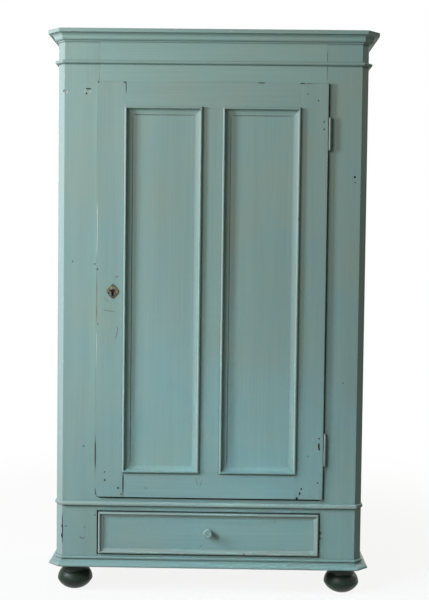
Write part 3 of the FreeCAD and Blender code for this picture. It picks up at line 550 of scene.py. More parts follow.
def planed(grain: Grain) -> BarePine:
    """Give planed pine inside the cupboard."""
    return BarePine(f"planed_pine_{grain.name}".lower(), grain)


def sawn(grain: Grain) -> BarePine:
    """Give rough pine that only shows from behind, above or below, greyer and dustier."""
    return BarePine(f"sawn_pine_{grain.name}".lower(), grain, early="#A98A61", late="#7E5F3C", dust="#7B6F5E",
                    dust_low=0.45, fibre_width=2.6)


class Side(Enum):
    """Which side of a piece is worked on, by the turn in degrees about x that brings z out of it."""

    FRONT = 90
    REAR = -90
    TOP = 0

    def face(self, piece: str) -> float:
        """Give where a CAD piece's face on this side is along its own axis, in metres."""
        low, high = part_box(piece)
        return {Side.FRONT: low.y, Side.REAR: high.y, Side.TOP: high.z}[self]

    def outward(self) -> Matrix:
        """Give the turn that brings local z out of the face."""
        return Matrix.Rotation(math.radians(self.value), 4, "X")

    def point(self, across: float, up: float, depth: float, face: float) -> Vector:
        """Give a place on or under a face in metres.

        Args:
            across: The place along x, in millimetres.
            up: The place along z, or along y on top, in millimetres.
            depth: How far under the face it lies, in millimetres.
            face: Where the face is along its own axis, in metres.

        Returns:
            The place in the frame.
        """
        if self is Side.TOP:
            return Vector((across * MM, up * MM, face - depth * MM))
        inward = depth if self is Side.FRONT else -depth
        return Vector((across * MM, face + inward * MM, up * MM))


# An outline's corners, as across, up and depth in millimetres.
Ring = list[tuple[float, float, float]]


@dataclass(frozen=True)
class Hole:
    """A round hole, such as a nail leaves."""

    across: float
    up: float
    radius: float = 1.8
    depth: float = 5.0
    # Holes are lined with near black: painted shade inside them.
    finish: Finish = BLACK_SHADE_AND_GRIME
    sides: int = 12
    clear: float = 0.6

    def rings(self, _: random.Random) -> list[Ring]:
        """Give the hole's outlines above the face and at its bottom."""
        turns = [2 * math.pi * step / self.sides for step in range(self.sides)]
        return [[(self.across + self.radius * math.cos(a), self.up + self.radius * math.sin(a), depth)
                 for a in turns] for depth in (-self.clear, self.depth)]


@dataclass(frozen=True)
class Chip:
    """An irregular flake that has come off."""

    across: float
    up: float
    width: float
    height: float
    depth: float = 0.9
    finish: Finish = WOUND
    corners: int = 11
    nearest: float = 0.65
    furthest: float = 1.15
    clear: float = 0.3
    mouth_share: float = 1.1
    floor_share: float = 0.55

    def rings(self, chance: random.Random) -> list[Ring]:
        """Give the chip's outlines above the face and at its floor.

        Args:
            chance: What draws how far out each corner lies.

        Returns:
            The upper and the lower outline.
        """
        turns = [2 * math.pi * step / self.corners for step in range(self.corners)]
        shares = [chance.uniform(self.nearest, self.furthest) for _ in turns]
        return [[(self.across + scale * share * self.width / 2 * math.cos(a),
                  self.up + scale * share * self.height / 2 * math.sin(a), depth)
                 for a, share in zip(turns, shares)]
                for scale, depth in ((self.mouth_share, -self.clear), (self.floor_share, self.depth))]


@dataclass(frozen=True)
class Groove:
    """A scratch or an open joint: a narrow groove that runs out at both ends."""

    path: tuple[tuple[float, float], ...]
    width: float = 1.2
    depth: float = 0.5
    finish: Finish = WOUND
    clear: float = 0.2


Mark = Hole | Chip | Groove


def make_object(name: str, mesh: BMesh, materials: list[Material]) -> Object:
    """Turn a mesh that is ready into an object of the scene.

    Args:
        name: The object's name.
        mesh: Its shape in metres, which is used up.
        materials: What its faces are made of, in the order of their numbers.

    Returns:
        The object.
    """
    data = bpy.data.meshes.new(name)
    mesh.to_mesh(data)
    mesh.free()
    for material in materials:
        data.materials.append(material)
    made = bpy.data.objects.new(name, data)
    bpy.context.scene.collection.objects.link(made)
    return made


@dataclass
class Carving:
    """Marks cut into the pieces of one body, from one side."""

    name: str
    body: str
    side: Side
    face: float
    marks: Sequence[Mark]
    seed: int = 7

    def build(self) -> Object:
        """Make the shape that is cut away: one closed solid for each mark.

        Returns:
            The shape, which rides on the body and isn't shown itself.
        """
        chance = random.Random(self.seed)
        mesh = bmesh.new()
        finishes = list(dict.fromkeys(mark.finish for mark in self.marks))
        for mark in self.marks:
            if isinstance(mark, Groove):
                faces = self.add_groove(mesh, mark)
            else:
                faces = self.add_pit(mesh, mark.rings(chance))
            for face in faces:
                face.material_index = finishes.index(mark.finish)
        bmesh.ops.recalc_face_normals(mesh, faces=mesh.faces)
        shape = make_object(self.name, mesh, [finish.material() for finish in finishes])
        shape.hide_render = True
        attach(shape, self.body)
        return shape

    def add_pit(self, mesh: BMesh, rings: list[Ring]) -> list[BMFace]:
        """Add a closed solid between an outline above the face and one under it.

        Args:
            mesh: The mesh that gets it.
            rings: The upper and the lower outline, with as many corners each.

        Returns:
            The solid's faces.
        """
        upper, lower = ([mesh.verts.new(self.side.point(*corner, self.face)) for corner in ring]
                        for ring in rings)
        faces = [mesh.faces.new(upper), mesh.faces.new(lower[::-1])]
        for at in range(len(upper)):
            faces.append(mesh.faces.new((upper[at - 1], lower[at - 1], lower[at], upper[at])))
        return faces

    def add_groove(self, mesh: BMesh, groove: Groove) -> list[BMFace]:
        """Add a closed V-shaped solid along a groove's path.

        Args:
            mesh: The mesh that gets it.
            groove: The path and the size across.

        Returns:
            The solid's faces.
        """
        half = groove.width / 2 * (1 + groove.clear / groove.depth)
        path = [Vector(point) for point in groove.path]
        start, end = (mesh.verts.new(self.side.point(*point, -groove.clear, self.face))
                      for point in (path[0], path[-1]))
        sections = []
        for before, here, after in zip(path, path[1:], path[2:]):
            ahead = (after - before).normalized()
            beside = Vector((-ahead.y, ahead.x)) * half
            corners = (here + beside, -groove.clear), (here - beside, -groove.clear), (here, groove.depth)
            sections.append([mesh.verts.new(self.side.point(*place, depth, self.face))
                             for place, depth in corners])
        faces = [mesh.faces.new((tip, section[at - 1], section[at]))
                 for tip, section in ((start, sections[0]), (end, sections[-1])) for at in range(3)]
        faces += [mesh.faces.new((first[at - 1], first[at], second[at], second[at - 1]))
                  for first, second in zip(sections, sections[1:]) for at in range(3)]
        return faces


@dataclass
class MeshNodes(Nodes):
    """A group of geometry nodes that takes a mesh and gives one back."""

    family: ClassVar[str] = ""
    # Corners closer than this are one.
    weld: ClassVar[float] = 0.01
    weight: ClassVar[str] = "bevel_weight_edge"
    mesh: NodeSocket = field(init=False)

    def __post_init__(self) -> None:
        """Start from the mesh that goes in."""
        for way in ("INPUT", "OUTPUT"):
            self.tree.interface.new_socket("Mesh", in_out=way, socket_type="NodeSocketGeometry")
        self.mesh = self.add("NodeGroupInput")

    @classmethod
    def named(cls, name: str) -> Self:
        """Start a group of this name."""
        return cls(bpy.data.node_groups.new(name, "GeometryNodeTree"))

    def end(self, mesh: NodeSocket) -> NodeTree:
        """Give a mesh back, and the whole group."""
        self.add("NodeGroupOutput", (mesh,))
        return self.tree


@cache
def weigh_edges(limit: float, shortest: float) -> NodeTree:
    """Make the nodes that join a mesh's loose corners and mark its outer edges for rounding.

    Args:
        limit: The angle in degrees between two faces from which their edge counts.
        shortest: The length in millimetres from which an edge counts, so that hole rims stay crisp.

    Returns:
        The node group, the same one for the same numbers.
    """
    nodes = MeshNodes.named(f"edges over {limit} degrees and {shortest} mm")
    joined = nodes.add("GeometryNodeMergeByDistance", {"Geometry": nodes.mesh, "Distance": nodes.weld * MM})
    bend = nodes.add("GeometryNodeInputMeshEdgeAngle", output="Signed Angle")
    bent = nodes.add("FunctionNodeCompare", (bend, math.radians(limit)), operation="GREATER_THAN")
    ends = nodes.add("GeometryNodeInputMeshEdgeVertices", output="Position 1").node.outputs
    length = nodes.add("ShaderNodeVectorMath", (ends["Position 1"], ends["Position 2"]), "Value",
                       operation="DISTANCE")
    long = nodes.add("FunctionNodeCompare", (length, shortest * MM), operation="GREATER_THAN")
    counts = nodes.add("FunctionNodeBooleanMath", (bent, long), operation="AND")
    full = {"Geometry": joined, "Name": nodes.weight, "Value": counts}
    return nodes.end(nodes.add("GeometryNodeStoreNamedAttribute", full, data_type="FLOAT", domain="EDGE"))


@cache
def drop_flat_edges(limit: float) -> NodeTree:
    """Make the nodes that take the rounding off edges that a cut has left lying flat.

    Args:
        limit: The angle in degrees between two faces from which their edge stays marked.

    Returns:
        The node group, the same one for the same angle.
    """
    nodes = MeshNodes.named(f"flat under {limit} degrees")
    bend = nodes.add("GeometryNodeInputMeshEdgeAngle", output="Signed Angle")
    flat = nodes.add("FunctionNodeCompare", (bend, math.radians(limit)), operation="LESS_THAN")
    none = {"Geometry": nodes.mesh, "Selection": flat, "Name": nodes.weight, "Value": 0.0}
    return nodes.end(nodes.add("GeometryNodeStoreNamedAttribute", none, data_type="FLOAT", domain="EDGE"))


@cache
def shade_edges(limit: float) -> NodeTree:
    """Make the nodes that smooth a mesh apart from its sharp edges and the rims between two finishes.

    Args:
        limit: The angle in degrees between two faces from which their edge is sharp.

    Returns:
        The node group, the same one for the same angle.
    """
    nodes = MeshNodes.named(f"sharp over {limit} degrees")
    bend = nodes.add("GeometryNodeInputMeshEdgeAngle", output="Unsigned Angle")
    bent = nodes.add("FunctionNodeCompare", (bend, math.radians(limit)), operation="GREATER_THAN")
    finish = nodes.add("GeometryNodeInputMaterialIndex")
    rim = nodes.add("GeometryNodeMeshFaceSetBoundaries", (finish,))
    sharp = nodes.add("FunctionNodeBooleanMath", (bent, rim), operation="OR")
    smooth = {"Mesh": nodes.mesh, "Remove Custom": True, "Edge Sharpness": sharp, "Face Sharpness": False}
    return nodes.end(nodes.add("GeometryNodeSetMeshNormal", smooth, mode="SHARPNESS"))


def modify(node: Object, name: str, kind: str, **settings: Any) -> None:
    """Add a modifier with its settings.

    Args:
        node: The piece that gets it.
        name: The modifier's name.
        kind: Blender's name of its type.
        **settings: Its own properties.
    """
    modifier = node.modifiers.new(name, kind)
    for key, value in settings.items():
        setattr(modifier, key, value)


@dataclass
class SubAssembly:
    """Pieces that are made and dressed together, and the body that new ones ride on."""

    body: str = "carcass"
    arris: float = 0.7
    outer_edge: float = 35.0
    sharp_edge: float = 20.0
    shortest_edge: float = 8.0

    def dress(self, finish: Finish, *names: str, cut: Object | None = None, crisp: bool = False) -> None:
        """Give CAD pieces their finish, softened edges and old damage.

        Args:
            finish: What their faces get.
            *names: The pieces' names.
            cut: The shape that is cut out of them.
            crisp: Whether their edges stay as they are.
        """
        for name in names:
            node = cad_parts[name]
            node.data.materials.clear()
            node.data.materials.append(finish.material())
            if not crisp:
                node.data.materials.append(finish.edge().material())
                self.soften(node, cut)
            LOG.info("%s: %s", name, finish.name)

    def soften(self, node: Object, cut: Object | None) -> None:
        """Round a piece's outer edges and cut damage into it, as modifiers.

        Args:
            node: The piece.
            cut: The shape that is cut out of it.
        """
        modify(node, "edge weights", "NODES", node_group=weigh_edges(self.outer_edge, self.shortest_edge))
        if cut:
            modify(node, cut.name, "BOOLEAN", operation="DIFFERENCE", solver="EXACT", use_self=True,
                   material_mode="TRANSFER", object=cut)
            modify(node, "flat edges", "NODES", node_group=drop_flat_edges(self.outer_edge))
        modify(node, "arris", "BEVEL", limit_method="WEIGHT", width=self.arris * MM, segments=2,
               use_clamp_overlap=False, material=1)
        modify(node, "edge shading", "NODES", node_group=shade_edges(self.sharp_edge))

    def carve(self, name: str, marks: Sequence[Mark], piece: str, side: Side = Side.FRONT) -> Object:
        """Make the shape of old damage in a CAD piece's face on one side, ready to be cut out."""
        return Carving(name, self.body, side, side.face(piece), marks).build()

    def add_piece(self, name: str, mesh: BMesh, slot: str, finish: Finish) -> None:
        """Make a piece of its own from a mesh, smooth, riding on the body.

        Args:
            name: The piece's name.
            mesh: Its shape in metres, which is used up.
            slot: The record's material slot; not used.
            finish: What it is dressed in.
        """
        bmesh.ops.recalc_face_normals(mesh, faces=mesh.faces)
        piece = make_object(name, mesh, [finish.material()])
        piece.data.shade_smooth()
        modify(piece, "edge shading", "NODES", node_group=shade_edges(self.sharp_edge))
        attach(piece, self.body)
        LOG.info("%s: %s", name, finish.name)


@dataclass(frozen=True)
class Head:
    """A nail or pin head: a low closed dome with a short shank under it."""

    radius: float
    rise: float
    root: float = 1.5
    sides: int = 16
    # The dome's section from its rim up, as shares of the radius and of the rise.
    crown: tuple[tuple[float, float], ...] = ((1.0, 0.0), (0.8, 0.55), (0.45, 0.9))

    def add_to(self, mesh: BMesh, place: Matrix) -> None:
        """Add the head to a mesh.

        Args:
            mesh: The mesh that gets it.
            place: Where the middle of the head's underside is, with its local z outward.
        """
        section = [(self.radius, -self.root)]
        section += [(reach * self.radius, height * self.rise) for reach, height in self.crown]
        turns = [2 * math.pi * step / self.sides for step in range(self.sides)]
        rings = [[mesh.verts.new(place @ (Vector((reach * math.cos(a), reach * math.sin(a), height)) * MM))
                  for a in turns] for reach, height in section]
        for lower, upper in zip(rings, rings[1:]):
            for at in range(self.sides):
                mesh.faces.new((lower[at - 1], lower[at], upper[at], upper[at - 1]))
        mesh.faces.new(rings[0][::-1])
        top = mesh.verts.new(place @ Vector((0, 0, self.rise * MM)))
        for at in range(self.sides):
            mesh.faces.new((rings[-1][at - 1], rings[-1][at], top))


@dataclass
class Case(SubAssembly):
    """The front frame, sides, back, top, floor, shelves and what the drawer runs on."""

    nail: Head = Head(radius=3.2, rise=0.6)
    nail_room: float = 0.3
    nail_sink: float = 0.9
    nail_inset: float = 32.0
    nail_inset_at_sides: float = 32.0 / 3
    nail_pitch: float = 290.0
    top_spaces: int = 5
    board_count: int = 5
    board_nails: tuple[float, float] = (0.25, 0.75)
    front_marks: tuple[Mark, ...] = (
        Chip(-477, 1618, 10, 15, 5, BLACK_SHADE_AND_GRIME), Chip(-467, 1614, 8, 12, 1.4, UNDERCOAT_AND_HIGHLIGHT),
        Chip(-397, 1625, 19, 6, 1.2, BLACK_SHADE_AND_GRIME), Chip(-403, 1610, 8, 6, 1.2, BLACK_SHADE_AND_GRIME),
        Chip(-392, 1615, 14, 5, 0.6, UNDERCOAT_AND_HIGHLIGHT), Chip(-411, 1617, 5, 9, 0.6, UNDERCOAT_AND_HIGHLIGHT),
        Hole(-445, 1076, 2.2), Hole(-373, 1068, 2.2), Hole(-405, 480, 2.6),
        Hole(454, 1354, 3.4), Hole(455, 1336, 1.8), Hole(428, 695, 2.0), Hole(-367, 255, 2.0),
        # Near-black line on the stile along the door's left edge: painted shadow of the gap between door and
        # frame.
        Groove(((-367.5, 525), (-368, 480), (-367.5, 430), (-367.5, 390)), 3.4, 2, BLACK_SHADE_AND_GRIME),
        Groove(((-473, 266), (-473.5, 240), (-472.5, 210), (-473, 182), (-473, 152)), 3.2, 6),
        Chip(-475, 218, 6, 14, 4, BLACK_SHADE_AND_GRIME), Chip(-476, 187, 7, 24, 5, BLACK_SHADE_AND_GRIME),
        Chip(-479, 203, 4, 10, 1.5, UNDERCOAT_AND_HIGHLIGHT), Chip(-469, 228, 4, 5, 0.6, UNDERCOAT_AND_HIGHLIGHT), Hole(-461, 218, 2.2),
        Groove(((-402, 223), (-401, 216), (-402, 208)), 1.6),
        Groove(((-417, 190), (-415, 182), (-409, 178), (-403, 180), (-400, 187)), 2.2, 0.8),
        Chip(362, 207, 7, 9, 3, BLACK_SHADE_AND_GRIME), Chip(362, 189, 6, 13, 3, BLACK_SHADE_AND_GRIME),
        Chip(369, 198, 6, 10, 0.8, UNDERCOAT_AND_HIGHLIGHT), Chip(368, 216, 5, 7, 0.8, UNDERCOAT_AND_HIGHLIGHT),
        # Dark line on the frieze rail over the door's top edge: painted shade of the gap there.
        Groove(((-366, 1649.2), (-120, 1649), (130, 1649.3), (366, 1649)), 1.8, 0.6, GRIME_AND_SHADE),
        Groove(((361, 1772), (361, 1740), (361, 1690), (361, 1652)), 1.8, 0.7, GRIME_AND_SHADE),
        # Black line on the mid rail under the door: painted shadow of the door's lip.
        Groove(((-366, 316), (-352, 314), (-100, 313.6), (140, 313.8), (354, 313.6), (367, 315)), 5, 1.2,
               BLACK_SHADE_AND_GRIME),
    )

    def build(self) -> None:
        """Dress every piece of the case and nail its back and top on."""
        upright, across, deep, rear = Grain.UPRIGHT, Grain.ACROSS, Grain.DEEP, BareFaces.REAR
        marks = self.carve("case_marks", self.front_marks, "mid_rail")
        self.dress(painted(upright, rear), "left_front_stile", "right_front_stile", cut=marks)
        self.dress(painted(across, rear), "bottom_rail")
        self.dress(painted(across, rear), "mid_rail", cut=marks)
        self.dress(high_up(across, rear), "frieze_rail", cut=marks)
        self.dress(painted(upright, BareFaces.INNER), "left_side_panel", "right_side_panel")
        self.dress(planed(across), "floor_board", "lower_shelf", "middle_shelf", "upper_shelf")
        self.dress(planed(deep), "shelf_cleats", "drawer_runners", "drawer_guides", "drawer_stops")
        self.dress(sawn(across), "base_board")
        self.nail_back()
        self.nail_top()

    def nail_back(self) -> None:
        """Nail the back boards along the floor, the top and both sides, with punched heads."""
        low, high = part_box("back_boards")
        width = (high.x - low.x) / self.board_count
        level_boards = map(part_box, ("base_board", "floor_board", "top_board"))
        rows = [(bottom.z + top.z) / 2 for bottom, top in level_boards]
        places = [(low.x + (board + share) * width, row)
                  for row in rows for board in range(self.board_count) for share in self.board_nails]
        steps = int((high.z - low.z) / (self.nail_pitch * MM))
        inset = self.nail_inset_at_sides * MM
        for side in (low.x + inset, high.x - inset):
            places += [(side, low.z + (step + 0.5) * (high.z - low.z) / steps) for step in range(steps)]
        self.drive_nails("back", Side.REAR, places, "back_boards", sawn(Grain.UPRIGHT))

    def nail_top(self) -> None:
        """Nail the top board along its four edges."""
        low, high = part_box("top_board")
        inset = self.nail_inset * MM
        across = [low.x + inset + step / self.top_spaces * (high.x - low.x - 2 * inset)
                  for step in range(self.top_spaces + 1)]
        places = [(x, y) for x in across for y in (low.y + inset, high.y - inset)]
        places += [(x, (low.y + high.y) / 2) for x in (across[0], across[-1])]
        self.drive_nails("top", Side.TOP, places, "top_board", sawn(Grain.ACROSS))

    def drive_nails(self, name: str, side: Side, places: list[tuple[float, float]], board: str,
                    wood: BarePine) -> None:
        """Sink nails into a board: a punched hole each, with the head at its bottom.

        Args:
            name: What the nails hold, for their names.
            side: The side that they are driven from.
            places: Where they go on the face, in metres.
            board: The board's name.
            wood: The board's finish.
        """
        holes = [Hole(x / MM, y / MM, self.nail.radius + self.nail_room, self.nail_sink) for x, y in places]
        self.dress(wood, board, cut=self.carve(f"{name}_nail_holes", holes, board, side))
        heads = bmesh.new()
        for x, y in places:
            under = side.point(x / MM, y / MM, self.nail_sink, side.face(board))
            self.nail.add_to(heads, Matrix.Translation(under) @ side.outward())
        self.add_piece(f"{name}_nails", heads, "lock_iron", LOCK_IRON)


@dataclass
class CaseMouldings(SubAssembly):
    """The cornice, the bead under the frieze, the waist moulding and the plinth."""

    arris: float = 0.5
    cornice_marks: tuple[Mark, ...] = (
        Chip(51, 1803, 22, 5, 1.2, UNDERCOAT_AND_HIGHLIGHT), Chip(-120, 1806, 9, 4, 1.0, UNDERCOAT_AND_HIGHLIGHT),
        Chip(318, 1805, 12, 4, 1.0, UNDERCOAT_AND_HIGHLIGHT),
    )

    def build(self) -> None:
        """Dress the mouldings, front lengths brushed across and side lengths brushed front to back."""
        across, deep = Grain.ACROSS, Grain.DEEP
        marks = self.carve("cornice_marks", self.cornice_marks, "cornice_front")
        self.dress(high_up(across), "cornice_front", cut=marks)
        self.dress(high_up(across), "cornice_cants")
        self.dress(high_up(deep), "cornice_returns")
        self.dress(painted(across), "frieze_bead", "plinth_front", "plinth_cants")
        self.dress(painted(deep), "plinth_returns")
        self.dress(handled(across), "waist_moulding")


@dataclass
class Feet(SubAssembly):
    """The four turned bun feet."""

    def build(self) -> None:
        """Dress the feet in their dark enamel."""
        feet = [f"{row}_{side}_foot" for row in ("front", "rear") for side in ("left", "right")]
        self.dress(FootPaint("satin_enamel_on_turned_pine"), *feet, crisp=True)


@dataclass
class Hinges(SubAssembly):
    """Two barrel hinges with their nails, painted over with the case, and their pins."""

    def build(self) -> None:
        """Dress the leaves in a thick darker paint that is painted shade, and the nails and pins in black
        iron.
        """
        # The leaves' paint is darker than the case's to stand for the shade that the door's edge casts on the
        # barrels.
        paint = PaintedPine("shaded_paint_over_iron", Grain.UPRIGHT, paint="#5C736D", cool="#566D6A", warm="#627468",
                            undercoat="#6E665C", old_wood="#3F342B", worn_above=0.66, worn_patch=7.0,
                            brush_width=2.0, brush_length=30.0)
        leaves = [f"{level}_hinge_{part}_leaf" for level in ("lower", "upper") for part in ("frame", "door")]
        self.dress(paint, *leaves, crisp=True)
        self.dress(NAIL_IRON, "frame_hinge_nails", "door_hinge_nails", "hinge_pins", crisp=True)


@dataclass
class Door(SubAssembly):
    """The framed door: two stiles, two rails, a muntin, two panels and the mouldings round them."""

    body: str = "door"
    moulding_arris: float = 0.5
    moulding_width: float = 25.0
    # Size and run of the dark grooves where each panel meets its moulding: painted shade.
    joint_width: float = 2.4
    joint_depth: float = 0.9
    joint_inset: float = 0.6
    joint_start: float = 1.0
    joint_taper: float = 12.0
    marks: tuple[Mark, ...] = (
        Chip(-364, 1645, 6, 6, 1.2, BLACK_SHADE_AND_GRIME), Chip(-280, 1645, 9, 5, 1.2, BLACK_SHADE_AND_GRIME),
        Chip(-364, 1052, 6, 7, depth=2), Hole(-361, 876, 1.8),
        Groove(((-366, 1062), (-365.4, 1000), (-365.7, 940), (-365.3, 905), (-366, 866)), 4.2, 0.9,
               RUBBED_WOOD),
        # Pale lines on the door's left edge: painted highlight where the edge catches the lamps.
        Groove(((-366, 1290), (-365.6, 1230), (-365.4, 1150), (-365.8, 1064)), 3.2, 0.5, UNDERCOAT_AND_HIGHLIGHT),
        Groove(((-366, 864), (-365.5, 830), (-365.7, 780), (-366, 700)), 3.2, 0.5, UNDERCOAT_AND_HIGHLIGHT),
        Groove(((-309, 1023), (-301, 1028), (-293, 1033)), 4.0, 0.9, GRIME_AND_SHADE),
        Groove(((-356, 925), (-335, 920), (-316, 917), (-294, 914)), 1.4, 0.4, GRIME_AND_SHADE),
        Groove(((-343, 969), (-338, 957), (-328, 949), (-316, 946)), 1.2, 0.4, GRIME_AND_SHADE),
        Groove(((-302, 874), (-297, 862), (-300, 840), (-310, 818)), 1.4),
        Groove(((-366.5, 520), (-366, 480), (-366, 430), (-366.5, 393)), 3.0, 6),
        Hole(-336, 398, 2.3), Hole(-335, 372, 3.0), Hole(-292, 347, 3.2),
        Chip(-281, 327, 8, 10, 1.0, RUBBED_WOOD),
        # Black line round the worn bottom-left corner: painted shade of the gap between door and frame.
        Groove(((-366.5, 352), (-365.8, 338), (-364.6, 327), (-359, 319.5)), 3.4, 1.5, BLACK_SHADE_AND_GRIME),
        Groove(((-276, 404), (-276.2, 380), (-276, 345), (-276, 312)), 4.2, 6),
        Groove(((-276, 1652), (-276, 1640), (-276, 1622), (-276, 1604)), 2.4, 5),
        Groove(((-211, 349), (-203, 348), (-194, 347)), 1.8),
        Groove(((-43, 393), (-38, 368), (-33, 341)), depth=0.4),
        Groove(((-18, 393), (-25, 366), (-30, 342)), depth=0.4),
        Chip(154, 1646.5, 26, 3, 1.4, BLACK_SHADE_AND_GRIME), Chip(284, 1646.5, 20, 3.5, 1.4, BLACK_SHADE_AND_GRIME),
        Chip(304, 1647, 22, 2, 1.0, GRIME_AND_SHADE),
        Hole(300, 1613, 1.7), Hole(334, 1593, 2.1), Chip(317, 459, 8, 3), Hole(350, 372, 2.4),
        Chip(353, 489, 7, 27, 1.2, BLACK_SHADE_AND_GRIME), Chip(298, 352, 6, 9, 1.2, BLACK_SHADE_AND_GRIME), Chip(293, 337, 6, 11, 1.2, BLACK_SHADE_AND_GRIME),
        Chip(284, 321, 9, 12, 4, BLACK_SHADE_AND_GRIME), Chip(304, 345, 4, 5, 0.6, UNDERCOAT_AND_HIGHLIGHT),
    )
    panel_marks: tuple[Mark, ...] = (Chip(210, 1299, 9, 9, 0.4, painted(Grain.UPRIGHT)),)
    moulding_marks: tuple[Mark, ...] = (Chip(277, 1217, 4, 22, 1.2, GRIME_AND_SHADE),)

    def build(self) -> None:
        """Dress the door's wood, brushed the way each member runs."""
        upright, across, rear = Grain.UPRIGHT, Grain.ACROSS, BareFaces.REAR
        marks = self.carve("door_marks", self.marks, "door_lock_stile")
        self.dress(painted(upright, rear), "door_lock_stile", "door_hinge_stile", cut=marks)
        self.dress(painted(across, rear), "door_top_rail", "door_bottom_rail", cut=marks)
        self.dress(painted(upright, rear), "door_muntin")
        for side, dents in (("left", ()), ("right", self.panel_marks)):
            panel = f"door_{side}_panel"
            # Dark joint lines round each panel, on its left and top: painted shade.
            joints = self.panel_shade_joints(f"{side}_panel_moulding")
            cuts = self.carve(f"{side}_panel_marks", [*joints, *dents], panel)
            self.dress(painted(upright, rear), panel, cut=cuts)
        self.arris = self.moulding_arris
        chips = self.carve("moulding_marks", self.moulding_marks, "right_panel_moulding")
        self.dress(painted(upright), "left_panel_moulding")
        self.dress(painted(upright), "right_panel_moulding", cut=chips)

    def panel_shade_joints(self, moulding: str) -> list[Mark]:
        """Draw the joint between a moulding and its panel as a dark groove on the left and top only:
        painted shade on the sides that face away from the lamps.

        Args:
            moulding: The moulding's name.

        Returns:
            A groove along its left and its top inner edge.
        """
        low, high = (Vector((corner.x, corner.z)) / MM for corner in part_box(moulding))
        inner = Vector((1, 1)) * (self.moulding_width + self.joint_inset)
        low, high = low + inner, high - inner
        corners = (low, Vector((low.x, high.y)), high)
        joints = []
        for start, end in zip(corners, corners[1:]):
            ahead = (end - start).normalized()
            tip, taper = self.joint_start * ahead, self.joint_taper * ahead
            path = (start + tip, start + taper, (start + end) / 2, end - taper, end - tip)
            joints.append(Groove(tuple(map(tuple, path)), self.joint_width, self.joint_depth, GRIME_AND_SHADE))
        return joints


@dataclass
class Lock(SubAssembly):
    """The lozenge key plate, the lock on the back of the door and the plate that its bolt enters."""

    body: str = "door"
    arris: float = 0.45
    # The key plate's wide rounded rim takes the dark rim brass: painted shade round its outline, with
    # tarnish.
    plate_arris: float = 1.3
    plate_shortest_edge: float = 0.0
    pin: Head = Head(radius=1.5, rise=0.8)
    pin_inset: float = 5.5

    def build(self) -> None:
        """Dress the metal and pin the key plate on."""
        self.dress(LOCK_IRON, "lock_case", "strike_plate", "lock_bolt")
        self.dress(LOCK_IRON, "lock_drill_pin", "lock_screws", crisp=True)
        self.arris, self.shortest_edge = self.plate_arris, self.plate_shortest_edge
        self.dress(KEY_BRASS, "key_plate")
        low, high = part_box("key_plate")
        pins = bmesh.new()
        for height in (low.z + self.pin_inset * MM, high.z - self.pin_inset * MM):
            place = Vector(((low.x + high.x) / 2, low.y, height))
            self.pin.add_to(pins, Matrix.Translation(place) @ Side.FRONT.outward())
        self.add_piece("key_plate_pins", pins, "aged_brass", TARNISHED_AND_SHADED_BRASS)


@dataclass
class Drawer(SubAssembly):
    """The dovetailed drawer with a moulding round its front and a turned knob."""

    body: str = "drawer"
    moulding_arris: float = 0.5
    front_marks: tuple[Mark, ...] = (
        Groove(((-33, 148), (-24, 157), (-10, 171)), depth=0.4), Chip(214, 241, 13, 2.5, 0.4, GRIME_AND_SHADE),
    )
    moulding_marks: tuple[Mark, ...] = (
        Chip(123, 137, 60, 5, 1.2, UNDERCOAT_AND_HIGHLIGHT), Chip(217, 136, 52, 5, 1.2, UNDERCOAT_AND_HIGHLIGHT),
        Chip(262, 136, 16, 4, 1.0, UNDERCOAT_AND_HIGHLIGHT), Chip(-86, 137, 24, 4, 1.0, UNDERCOAT_AND_HIGHLIGHT), Chip(117, 136, 6, 7, 2.0, BLACK_SHADE_AND_GRIME),
    )

    def build(self) -> None:
        """Dress the drawer: painted front, bare dovetailed box, turned knob."""
        across, deep = Grain.ACROSS, Grain.DEEP
        dents = self.carve("drawer_marks", self.front_marks, "drawer_front")
        self.dress(painted(across, BareFaces.REAR), "drawer_front", cut=dents)
        self.dress(planed(deep), "drawer_left_side", "drawer_right_side")
        self.dress(planed(across), "drawer_back", "drawer_bottom")
        self.arris = self.moulding_arris
        chips = self.carve("drawer_moulding_marks", self.moulding_marks, "drawer_front_moulding")
        self.dress(handled(across), "drawer_front_moulding", cut=chips)
        self.dress(painted(across), "drawer_knob", crisp=True)
        self.dress(LOCK_IRON, "knob_screw", crisp=True)


@dataclass(frozen=True)
class Lamp:
    """A soft lamp: where it hangs, what it looks at, its size, power, colour and spread in degrees."""

    name: str
    place: tuple[float, float, float]
    aim: tuple[float, float, float]
    size: tuple[float, float]
    power: float
    colour: str = "#FFFFFF"
    spread: float = 180.0
    narrow: float = 45.0

    def hang(self) -> None:
        """Put the lamp into the scene, out of the camera's sight, and a narrow one out of reflections."""
        data = bpy.data.lights.new(self.name, "AREA")
        data.shape = "RECTANGLE"
        data.size, data.size_y = (length * MM for length in self.size)
        data.energy = self.power
        data.spread = math.radians(self.spread)
        data.color = linear(self.colour)[:3]
        lamp = bpy.data.objects.new(self.name, data)
        lamp.location = Vector(self.place) * MM
        lamp.rotation_euler = (Vector(self.aim) - Vector(self.place)).to_track_quat("-Z", "Y").to_euler()
        lamp.visible_camera = False
        lamp.visible_glossy = self.spread > self.narrow
        bpy.context.scene.collection.objects.link(lamp)


def seen_directly(nodes: Nodes) -> NodeSocket:
    """Tell the rays of the camera, and those of gloss and glass, from the rays that only carry light.

    Args:
        nodes: The nodes of the floor or of the world.

    Returns:
        One for a ray that sees, and nothing for one that lights.
    """
    ray = nodes.add("LightPath").node.outputs
    shiny = nodes.add("Math", (ray["Is Glossy Ray"], ray["Is Transmission Ray"]), operation="MAXIMUM")
    return nodes.add("Math", (ray["Is Camera Ray"], shiny), operation="MAXIMUM")


